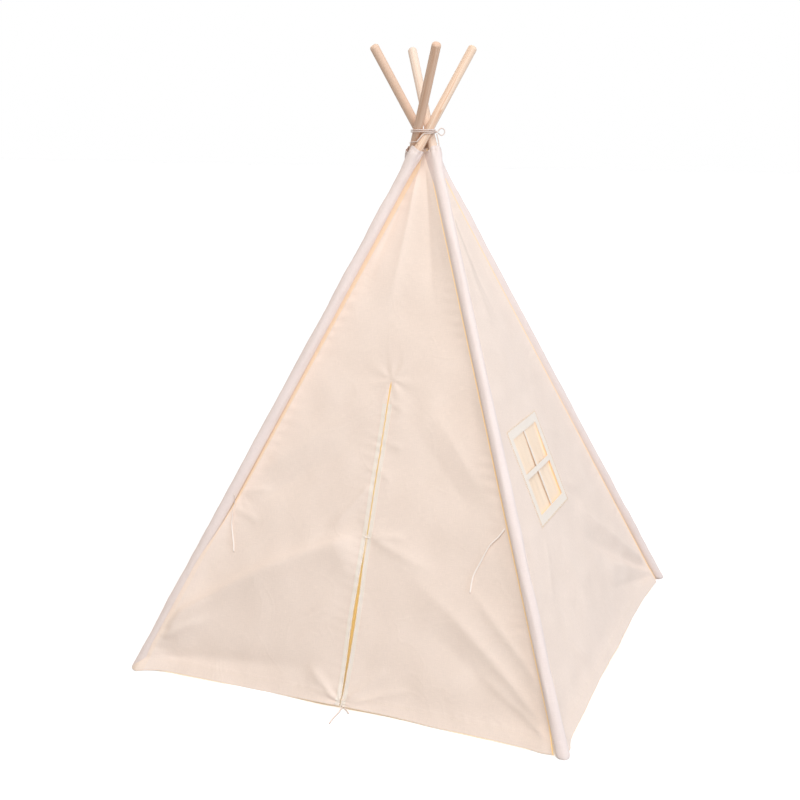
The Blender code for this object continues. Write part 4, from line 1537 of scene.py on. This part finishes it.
def make_door_tie(name, route):
    """A tape along a route on the wall's surface, which leans from side to side on its way."""
    u, v, w = np.array(route).T
    lift = np.maximum(0.0, front_lift(u, v))
    line, length = smooth_route(wall_place(u, v, w + lift), tape_step)
    out = wall_outward()
    rings = []
    for i, (here, ahead, _, _) in enumerate(carried_frames(line)):
        share = i / (len(line) - 1)
        lean = 0.5 * math.sin(5.0 * share + 0.4)
        flat_way = (Matrix.Rotation(lean, 3, ahead) @ (out - ahead * out.dot(ahead))).normalized()
        rings.append(tape_ring(here, ahead, flat_way, tie_diameter / 2 * (1.25 - 0.3 * share)))
    made = skinned(f"door_tie_{name}_tape", rings, tie_cotton)
    stands_for(made, f"door_tie_{name}", "front_wall", 0)
    print(made.name, "is", round(length, 3), "m long")


make_door_tie("left", door_tie_left_route)
make_door_tie("right", door_tie_right_route)

# %% [markdown]
# ## Window
# The right wall has a square window with a sewn border, a broad bar across it and a thin one
# up it. The sheet is divided along the window's four sides, and the faces inside are deleted.

# %% The right wall
window_centre = -0.04
window_width = 0.208
window_bottom = 0.466
window_top = 0.685
frame_width = 0.028
window_left = window_centre - window_width / 2
window_right = window_centre + window_width / 2
window_middle = (window_bottom + window_top) / 2
window_height = window_top - window_bottom


def right_folds_held(u, v):
    """The folds, held nearly flat round the window by its border."""
    aside = np.abs(u - window_centre) - window_width / 2 - frame_width
    beyond = np.abs(v - window_middle) - window_height / 2 - frame_width
    away = ease(np.maximum(aside, beyond) / 0.08)
    pulled = fan(u, v, (window_centre, window_middle), 0.10, 0.0012, 8)
    return right_folds(u, v) * away + pulled * away


def cut_window(made):
    """Divides the sheet along the window's sides and deletes what is inside."""
    bm = bmesh.new()
    bm.from_mesh(made.data)
    bm.verts.ensure_lookup_table()
    u_way = Vector(wall_place(1, 0, 0, 1) - wall_place(0, 0, 0, 1))
    v_way = Vector(wall_place(0, 1, 0, 1) - wall_place(0, 0, 0, 1))
    corner = Vector(wall_place(0, 0, 0, 1))
    for way, places in ((u_way, (window_left, window_right)), (v_way, (window_bottom, window_top))):
        for far in places:
            everything = bm.verts[:] + bm.edges[:] + bm.faces[:]
            bmesh.ops.bisect_plane(bm, geom=everything, plane_co=corner + way * far, plane_no=way)
    inside = []
    for face in bm.faces:
        off = face.calc_center_median() - corner
        level = window_left < off.dot(u_way) < window_right
        if level and window_bottom < off.dot(v_way) < window_top:
            inside.append(face)
    bmesh.ops.delete(bm, geom=inside, context="FACES")
    bm.to_mesh(made.data)
    bm.free()


right_cover = whole_wall("right_wall_cover", right_folds_held, 1)
cut_window(right_cover)
thicken(right_cover, wall_thickness, canvas_inside)
hem_stitches("right_wall", right_folds_held, 1, -hem_sewn_half, hem_sewn_half)
print("the window is", window_width, "by", round(window_height, 3), "m")


# %% [markdown]
# The border is a ring of tape with mitred corners, and the bars are flat tapes. They lie on
# the wall's own surface.


# %% Window border and bars
cross_bar_width = 0.015
upright_bar_width = 0.010
tape_gap = 0.0003
tape_thickness = 0.0009
tape_face = tape_gap + tape_thickness
upright_bar_depth = 0.0012


def right_surface(u, v, off):
    return wall_place(u, v, wall_lift(right_folds_held, u, v, 1) + off, 1)


def tape_patch(name, corners, off=tape_gap, cells=(24, 4)):
    """A four-sided piece of tape on the right wall, from its corners' u and v."""
    a, b, c, d = (np.array(corner) for corner in corners)

    def flat(s, t):
        s, t = s[:, None], t[:, None]
        return (a * (1 - s) + b * s) * (1 - t) + (d * (1 - s) + c * s) * t

    made = sheet_grid(
        name, np.linspace(0, 1, cells[0]), np.linspace(0, 1, cells[1]),
        lambda s, t: right_surface(*flat(s, t).T, off + tape_thickness), trim_tape, flat,
    )
    outwards(made, wall_outward(1))
    thicken(made, tape_thickness)
    return made


def rectangle(left, right, bottom, top):
    """Its four corners on the wall, from the lower left one round."""
    return (left, bottom), (right, bottom), (right, top), (left, top)


def round_window(off):
    """The corners of a rectangle that stands off from the window's edges."""
    return rectangle(window_left - off, window_right + off, window_bottom - off, window_top + off)


def make_border():
    inner, outer = round_window(0.0), round_window(frame_width)
    sides = []
    for k in range(4):
        n = (k + 1) % 4
        sides.append(tape_patch(f"border_{k}", (outer[k], outer[n], inner[n], inner[k])))
    made = joined("window_border", sides)
    made.data.set_sharp_from_angle(angle=math.radians(50))
    return made


border = make_border()
half = cross_bar_width / 2
bar_across = tape_patch(
    "window_bar_wide", rectangle(window_left, window_right, window_middle - half, window_middle + half)
)
half = upright_bar_width / 2
bar_upright = tape_patch(
    "window_bar_thin", rectangle(window_centre - half, window_centre + half, window_bottom, window_top),
    -upright_bar_depth, cells=(4, 24),
)
for piece, node in (
    (border, "window_frame"), (bar_across, "window_bar_across"), (bar_upright, "window_bar_upright")
):
    stands_for(piece, node, "right_wall", 1)
print("the border is", frame_width, "m wide")

# %% [markdown]
# The border is sewn twice: straight beside the opening, and with a zigzag over its outer edge,
# so that it doesn't fray. The zigzag is a line of places that step from side to side.

# %% The border's sewing
border_straight_off = 0.003
border_zigzag_off = frame_width - 0.002
zigzag_reach = 0.0022
zigzag_step = 0.0032


def border_stitches(off, zigzag):
    """Sewing round the border, straight or from side to side of its line."""
    loop = round_window(off)
    for k in range(4):
        start, end = np.array(loop[k]), np.array(loop[(k + 1) % 4])
        length = float(np.hypot(*(end - start)))
        count = round(length / zigzag_step)
        steps = np.linspace(0, 1, count + 1)[:, None]
        aside = np.array([end[1] - start[1], start[0] - end[0]]) / length
        swing = np.where(np.arange(count + 1) % 2 == 0, 1, -1)[:, None] * zigzag_reach * zigzag
        u, v = (start * (1 - steps) + end * steps + aside * swing).T
        body = "right_wall_zigzag" if zigzag else "right_wall"
        add_stitches(body, right_surface(u, v, tape_face), wall_outward(1))


border_stitches(border_straight_off, 0)
border_stitches(border_zigzag_off, 1)
print("the zigzag is", 2 * zigzag_reach, "m wide and steps", zigzag_step, "m")
declare_wall(
    right_cover, "right_wall", 1,
)

# %% [markdown]
# The curtain hangs inside the opening from its sewn top edge, with soft upright folds, and two
# pairs of patches hold its lower corners to the wall. It is flat at its top and its bottom, so
# the folds grow towards its middle.

# %% Curtain
curtain_overlap = 0.026
curtain_belly = 0.0015
curtain_top = window_top + curtain_overlap
curtain_bottom = window_bottom - curtain_overlap
curtain_half = window_width / 2 + curtain_overlap
curtain_back = wall_thickness + touch_gap
curtain_thickness = 0.0008
dot_thickness = 0.001


def curtain_depth(u, v):
    """How far behind the wall's outer face the curtain hangs."""
    down = (curtain_top - v) / (curtain_top - curtain_bottom)
    loose = np.sin(np.pi * np.clip(down, 0, 1))
    folds = ripple(u * 3.2, v * 0.5, 0.16, 0.0014, 41) + 0.0008 * np.sin((u + 0.1 * v) / 0.0075)
    return curtain_back + 2 * (dot_thickness + touch_gap) * down + curtain_belly * loose + folds * loose


def make_curtain():
    def place(u, v):
        return wall_place(u, v, -curtain_depth(u, v), 1)

    made = sheet_grid(
        "window_curtain_cloth",
        np.linspace(window_centre - curtain_half, window_centre + curtain_half, 110),
        np.linspace(curtain_bottom, curtain_top, 60), place, curtain_cotton,
        lambda u, v: np.stack([u, v], axis=-1),
    )
    outwards(made, wall_outward(1))
    thicken(made, curtain_thickness)
    stands_for(made, "window_curtain", "window_curtain", 1)
    return made


curtain = make_curtain()
print("the curtain is cut", [round(2 * curtain_half, 3), round(curtain_top - curtain_bottom, 3)], "m")

# %% [markdown]
# Each hook patch is a small square of tape with rounded corners. Its pile is too fine to model
# hook by hook, so a grid of low bumps stands for it.

# %% Curtain fasteners
dot_size = 0.016
dot_inset = 0.013
dot_rounding = 0.12
pile_height = 0.0002
pile_rows = 9


def fastener_patch(name, u, v, w, node, body):
    """A small square of fastener tape with rounded corners and a raised pile."""
    half = dot_size / 2

    def place(s, t):
        x, y = 2 * s - 1, 2 * t - 1
        pile = pile_height * np.sin(pile_rows * np.pi * s) * np.sin(pile_rows * np.pi * t)
        across = half * x * np.sqrt(1 - dot_rounding * y**4)
        up = half * y * np.sqrt(1 - dot_rounding * x**4)
        return wall_place(u + across, v + up, w + pile, 1)

    made = sheet_grid(
        name, np.linspace(0, 1, 28), np.linspace(0, 1, 28), place, fastener_tape,
        lambda s, t: np.stack([s * dot_size, t * dot_size], axis=-1),
    )
    outwards(made, wall_outward(1))
    thicken(made, dot_thickness * 0.8)
    stands_for(made, node, body, 1)
    return made


for side, name in ((-1, "left"), (1, "right")):
    dot_place = window_centre + side * (curtain_half - dot_inset), curtain_bottom + dot_inset
    fastener_patch(
        f"fastener_{name}_on_wall", *dot_place, -curtain_back,
        f"curtain_fastener_{name}_wall", "right_wall",
    )
    fastener_patch(
        f"fastener_{name}_on_curtain", *dot_place, -curtain_back - dot_thickness - touch_gap,
        f"curtain_fastener_{name}_curtain", "window_curtain",
    )

# %% [markdown]
# ## Sleeves
# A sleeve is a long pocket of the cover's own cloth that a pole stands in. Its section is
# round about the pole and drawn in to the corner seam, like a drop. The cloth is loose on the
# pole, so the drop swells and narrows along it, and the mouth at the top is wider and hemmed.

# %% Sleeves
sleeve_mouth_drop = 0.05
sleeve_thickness = 0.0011
seam_half_thickness = 0.001
foot_seam = Vector((-seam_half, -seam_half, 0))
cover_apex = Vector((0, 0, apex_height))
foot_to_crossing = (pole_crossing - pole_foot).length
sleeve_mouth = foot_to_crossing - sleeve_mouth_drop
sleeve_map_width = 0.1
round_points = 40
flank_points = 7
flank_angle = 0.75
slacks = ((0.10, 0.022, 0.0011, 50), (0.5, 0.05, 0.0005, 60))
mouth_flare = 0.0085
mouth_hem = 0.009
mouth_rows = 0.05
foot_band = 0.030
foot_band_proud = 0.0009
foot_length = 0.034
foot_round = 0.010
foot_pull = 0.14
foot_rows = 14
floor_gap = 0.0004


def seam_on(distance):
    """Where the corner seam passes the section square to the pole at this distance."""
    run = cover_apex - foot_seam
    share = (on_pole(distance) - foot_seam).dot(pole_axis) / run.dot(pole_axis)
    return foot_seam + run * share


def sleeve_slack(distance, angle, corner):
    """How far the loose cloth stands off the plain drop at this place, and not at its flanks."""
    off_flank = float(ease((angle - flank_angle) / 1.6))
    off_flank *= float(ease((2 * math.pi - flank_angle - angle) / 1.6))
    loose = 0.0
    for share, size, height, seed in slacks:
        arc, along = np.array([angle * 0.012]), np.array([distance * share])
        loose += float(ripple(arc, along, size, height, seed + corner)[0])
    below = sleeve_mouth - distance
    flare = mouth_flare * math.exp(-((below / 0.045) ** 2))
    mouth = flare * (0.6 + 0.4 * math.cos(2 * angle + corner))
    gathered = math.exp(-(((below - mouth_hem) / 0.006) ** 2))
    wide = math.exp(-(((below - mouth_hem) / 0.016) ** 2))
    pucker = 0.0016 * math.sin(7 * angle + 2 * corner + 60 * below) * wide
    pucker += 0.0008 * math.sin(17 * angle + corner) * gathered - 0.0012 * gathered
    band = foot_band_proud * float(ease((foot_band - distance) / 0.003))
    return max(loose, -0.0004) * off_flank + mouth + pucker + band * off_flank


def sleeve_ring(distance, corner):
    """One section of the sleeve, as a closed ring of points, from flank to flank."""
    centre = on_pole(distance)
    to_seam = seam_on(distance) - centre
    reach = to_seam.length
    inward = to_seam.normalized()
    side = pole_axis.cross(inward)
    tangent = math.acos(min(0.98, sleeve_radius / reach))
    near_mouth = math.exp(-(((sleeve_mouth - distance) / 0.012) ** 2))
    ring = []
    for step in range(round_points):
        angle = tangent + (2 * math.pi - 2 * tangent) * step / (round_points - 1)
        radius = sleeve_radius + sleeve_slack(distance, angle, corner)
        wave = pole_axis * 0.0022 * near_mouth * math.sin(3 * angle + 1.7 * corner)
        ring.append(centre + (inward * math.cos(angle) + side * math.sin(angle)) * radius + wave)
    seam_ends = [centre + inward * reach + side * flank * seam_half_thickness for flank in (-1, 1)]
    last, first = ring[-1], ring[0]
    ring += [last.lerp(seam_ends[0], k / flank_points) for k in range(1, flank_points + 1)]
    ring += [seam_ends[1].lerp(first, k / flank_points) for k in range(flank_points)]
    return ring


def foot_rings(corner):
    """The sleeve's foot, cut level by the floor and rounded in a little."""
    low = sleeve_ring(0, corner)
    high = sleeve_ring(foot_length, corner)
    rows = []
    for share in np.linspace(0, 1, foot_rows):
        row = []
        for first, last in zip(low, high):
            start = (floor_gap - first.z) / pole_axis.z
            along = start + (foot_length - start) * share
            from_high = last + pole_axis * (along - foot_length)
            point = (first + pole_axis * along).lerp(from_high, share)
            rise = (along - start) / foot_round
            pull = foot_pull * max(0.0, 1 - rise) ** 2
            row.append(point.lerp(on_pole(along if rise > 0 else 0), pull))
        if share == 0:
            for point in row:
                point.z = floor_gap
        rows.append(row)
    return rows


def make_sleeve(corner):
    name = f"sleeve_{corner_names[corner]}"
    quarter = quarter_turn(corner)
    above = np.concatenate([
        np.linspace(foot_length, sleeve_mouth - mouth_rows, 170)[1:-1],
        np.linspace(sleeve_mouth - mouth_rows, sleeve_mouth, 34),
    ])
    low_rows = foot_rings(corner)
    distances = [*np.linspace(0, foot_length, len(low_rows)), *above]
    bm = bmesh.new()
    layer = bm.loops.layers.uv.new("cloth")
    rows = []
    for ring in [*low_rows, *(sleeve_ring(distance, corner) for distance in above)]:
        rows.append([bm.verts.new(quarter @ point) for point in ring])
    count = len(rows[0])
    for j, (here, ahead) in enumerate(zip(rows, rows[1:])):
        for i in range(count):
            n = (i + 1) % count
            face = bm.faces.new((here[i], here[n], ahead[n], ahead[i]))
            for loop, (a, d) in zip(face.loops, ((i, j), (i + 1, j), (i + 1, j + 1), (i, j + 1))):
                loop[layer].uv = (a * sleeve_map_width / count, distances[d])
    bm.faces.new(rows[0][::-1])
    bmesh.ops.recalc_face_normals(bm, faces=bm.faces)
    made = object_from(f"{name}_cloth", bm, sleeve_canvas)
    axis = quarter @ pole_axis
    outer = 0.0
    for face in made.data.polygons:
        off = face.center - on_pole(0, corner)
        outer += face.normal.dot(off - axis * off.dot(axis)) * face.area
    if outer < 0:
        made.data.flip_normals()
    thicken(made, sleeve_thickness)
    stands_for(made, name, f"pole_{corner_names[corner]}")
    sewn_at = sleeve_mouth - mouth_hem
    ring = [quarter @ point for point in sleeve_ring(sewn_at, corner)[:round_points]]
    ways = [(point - on_pole(sewn_at, corner)).normalized() for point in ring]
    add_stitches(f"pole_{corner_names[corner]}", ring, ways)
    return made


sleeves = [make_sleeve(corner) for corner in range(4)]
print("a sleeve has", len(sleeves[0].data.polygons), "faces")

# %% [markdown]
# ## Stitches
# All the sewing is made by one Geometry Nodes tree. It takes lines of places on the cloth,
# puts points along them at the stitch's pitch, and lays a small oval of thread on each, along
# the line and flat on the cloth.


# %% The stitching tree
stitch_pitch = 0.0045
stitch_length = 0.0031
stitch_width = 0.0009


def make_stitch_tree():
    tree = bpy.data.node_groups.new("sewn_line", "GeometryNodeTree")
    for label, way, kind, value in (
        ("Lines", "INPUT", "Geometry", None), ("Pitch", "INPUT", "Float", stitch_pitch),
        ("Length", "INPUT", "Float", stitch_length), ("Width", "INPUT", "Float", stitch_width),
        ("Thread", "INPUT", "Material", None), ("Stitches", "OUTPUT", "Geometry", None),
    ):
        socket = tree.interface.new_socket(name=label, in_out=way, socket_type=f"NodeSocket{kind}")
        if value is not None:
            socket.default_value = value
    start, end = tree.nodes.new("NodeGroupInput"), tree.nodes.new("NodeGroupOutput")
    curve = add_node(tree, "GeometryNodeMeshToCurve", i0=start.outputs["Lines"])
    even = add_node(
        tree, "GeometryNodeResampleCurve", {"mode": "LENGTH"}, Curve=curve.outputs[0],
        Length=start.outputs["Pitch"],
    )
    ahead = add_node(tree, "GeometryNodeInputTangent")
    out = add_node(
        tree, "GeometryNodeInputNamedAttribute", {"data_type": "FLOAT_VECTOR"}, Name="outward"
    )
    along = add_node(tree, "FunctionNodeAlignRotationToVector", {"axis": "X"}, Vector=ahead.outputs[0])
    flat = add_node(
        tree, "FunctionNodeAlignRotationToVector", {"axis": "Z", "pivot_axis": "X"},
        Rotation=along.outputs[0], Vector=out.outputs[0],
    )
    oval = add_node(tree, "GeometryNodeMeshUVSphere", Segments=8, Rings=5, Radius=0.5)
    size = add_node(
        tree, "ShaderNodeCombineXYZ", X=start.outputs["Length"], Y=start.outputs["Width"],
        Z=start.outputs["Width"],
    )
    laid = add_node(
        tree, "GeometryNodeInstanceOnPoints", Points=even.outputs[0], Instance=oval.outputs[0],
        Rotation=flat.outputs[0], Scale=size.outputs[0],
    )
    real = add_node(tree, "GeometryNodeRealizeInstances", Geometry=laid.outputs[0])
    coloured = add_node(
        tree, "GeometryNodeSetMaterial", Geometry=real.outputs[0], Material=start.outputs["Thread"]
    )
    tree.links.new(coloured.outputs[0], end.inputs[0])
    return tree


stitch_tree = make_stitch_tree()
print(stitch_tree.name, "has", len(stitch_tree.nodes), "nodes")

# %% [markdown]
# The noted lines are sewn body by body, so that the stitches move with their cloth. The tree is
# applied at once, because a plain mesh is what the finished model keeps.


# %% Sewing
def sew(name, body, lines, thread, pitch):
    """All of one body's stitches in one thread, as one plain mesh."""
    mesh = bpy.data.meshes.new(f"sewing_{name}")
    points = np.concatenate([line for line, _ in lines])
    edges = []
    first = 0
    for line, _ in lines:
        edges += [(first + k, first + k + 1) for k in range(len(line) - 1)]
        first += len(line)
    mesh.from_pydata(points.tolist(), edges, [])
    outward = mesh.attributes.new("outward", "FLOAT_VECTOR", "POINT")
    ways = np.concatenate([np.broadcast_to(out, line.shape) for line, out in lines])
    outward.data.foreach_set("vector", ways.astype(np.float32).ravel())
    made = bpy.data.objects.new(f"stitches_{name}", mesh)
    bpy.context.scene.collection.objects.link(made)
    sewn = made.modifiers.new("sewn_line", "NODES")
    sewn.node_group = stitch_tree
    sockets = {item.name: item.identifier for item in stitch_tree.interface.items_tree}
    sewn[sockets["Pitch"]] = pitch
    sewn[sockets["Thread"]] = thread
    applied(made)
    made.data.shade_smooth()
    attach(made, body)
    return made


turn_of_body = {
    "front_wall": 0, "door_flap_left": 0, "door_flap_right": 0, "right_wall": 1, "window_curtain": 1,
    "back_wall": 2, "left_wall": 3,
}
for name, lines in stitch_lines.items():
    zigzag = name.endswith("_zigzag")
    body = name.removesuffix("_zigzag")
    thread, pitch = (zigzag_thread, zigzag_step) if zigzag else (sewing_thread, stitch_pitch)
    sewing = sew(name, body, lines, thread, pitch)
    if body in turn_of_body:
        gather(sewing, turn_of_body[body])
    print(sewing.name, "has", len(sewing.data.polygons), "faces")

# %% [markdown]
# ## Studio
# The floor and the background are white, as in a product photograph. The floor takes the
# tent's shadow, and further out it gives off a little light of its own, so that it meets the
# background without an edge.


# %% The floor
floor_size = 60.0
floor_drop = 0.0005
floor_lift = 0.20
floor_lift_start = 0.45
floor_lift_end = 0.65


def floor_finish():
    made, tree, shader = new_material("studio_floor")
    place = add_node(tree, "ShaderNodeTexCoord").outputs["Object"]
    grain = add_node(tree, "ShaderNodeTexNoise", Vector=place, Scale=3.0, Detail=2.0)
    pale = mixed(tree, grain.outputs["Fac"], linear(251, 251, 251), linear(254, 254, 254))
    seen = add_node(tree, "ShaderNodeLightPath").outputs["Is Camera Ray"]
    away = add_node(tree, "ShaderNodeVectorMath", {"operation": "LENGTH"}, i0=place)
    far = soft_step(tree, away.outputs["Value"], floor_lift_start, floor_lift_end)
    feed_all(tree, shader, {
        "Base Color": mixed(tree, seen, linear(158, 158, 158), pale), "Roughness": 0.95,
        "Specular IOR Level": 0.0, "Emission Strength": floor_lift,
        "Emission Color": mixed(tree, far, no_light, (1, 1, 1, 1)),
    })
    return made


bpy.ops.mesh.primitive_plane_add(size=floor_size, location=(0, 0, -floor_drop))
floor = bpy.context.object
floor.name = "studio_floor"
floor.data.materials.append(floor_finish())
print("the floor is", floor_size, "m wide")

# %% [markdown]
# The world is white to the camera, as the backdrop, and dimmer as a light, so that the lamps
# can shape the cloth.

# %% The backdrop
world_light = 0.30
world = bpy.data.worlds.new("studio_world")
bpy.context.scene.world = world
world.use_nodes = True
sky = world.node_tree
background = sky.nodes["Background"]
path = add_node(sky, "ShaderNodeLightPath")
seen = maths(
    sky, "MAXIMUM", path.outputs["Is Camera Ray"],
    maths(sky, "MAXIMUM", path.outputs["Is Glossy Ray"], path.outputs["Is Transmission Ray"]),
)
strength = maths(sky, "MULTIPLY_ADD", seen, 1.0 - world_light, world_light)
sky.links.new(strength, background.inputs["Strength"])
background.inputs["Color"].default_value = (1, 1, 1, 1)
print("the white world lights at", world_light, "of what it shows")

# %% [markdown]
# The key lamp shines from above the front. A cool one from the right makes the window's wall
# bluer than the front, a weak warm one fills in from the left, and one behind lights the walls
# that face away. These four are so far off that their light is even. A square lamp close by
# adds what they can't: it makes the tent's top brighter than its foot.


# %% Lamps
def add_lamp(name, kind, power, turn, place=(0, 0, 0), **settings):
    """A lamp of Blender's own, with its power, its turn and its place."""
    data = bpy.data.lights.new(name, kind)
    data.energy = power
    for key, value in settings.items():
        setattr(data, key, value)
    lamp = bpy.data.objects.new(name, data)
    lamp.location = place
    lamp.rotation_euler = turn.to_euler()
    bpy.context.scene.collection.objects.link(lamp)
    print(name, "has power", power)


for name, towards, power, softness, colour in (
    ("key_lamp", (0.10, -0.42, 0.90), 1.10, 20, (1.0, 0.985, 0.965)),
    ("side_lamp", (0.92, -0.12, 0.38), 1.17, 40, (0.75, 0.855, 1.0)),
    ("fill_lamp", (-0.55, -0.74, 0.38), 0.18, 60, (1.0, 0.93, 0.87)),
    ("back_lamp", (-0.55, 0.60, 0.58), 0.85, 60, (1.0, 0.99, 0.98)),
):
    turn = Vector(towards).to_track_quat("Z", "Y")
    add_lamp(name, "SUN", power, turn, angle=math.radians(softness), color=colour)
top_place, top_target = Vector((1.4, -1.9, 2.9)), Vector((0, -0.2, 0.9))
turn = (top_target - top_place).to_track_quat("-Z", "Y")
add_lamp("top_lamp", "AREA", 28, turn, top_place, size=1.2)
bpy.context.scene.view_settings.view_transform = "Standard"
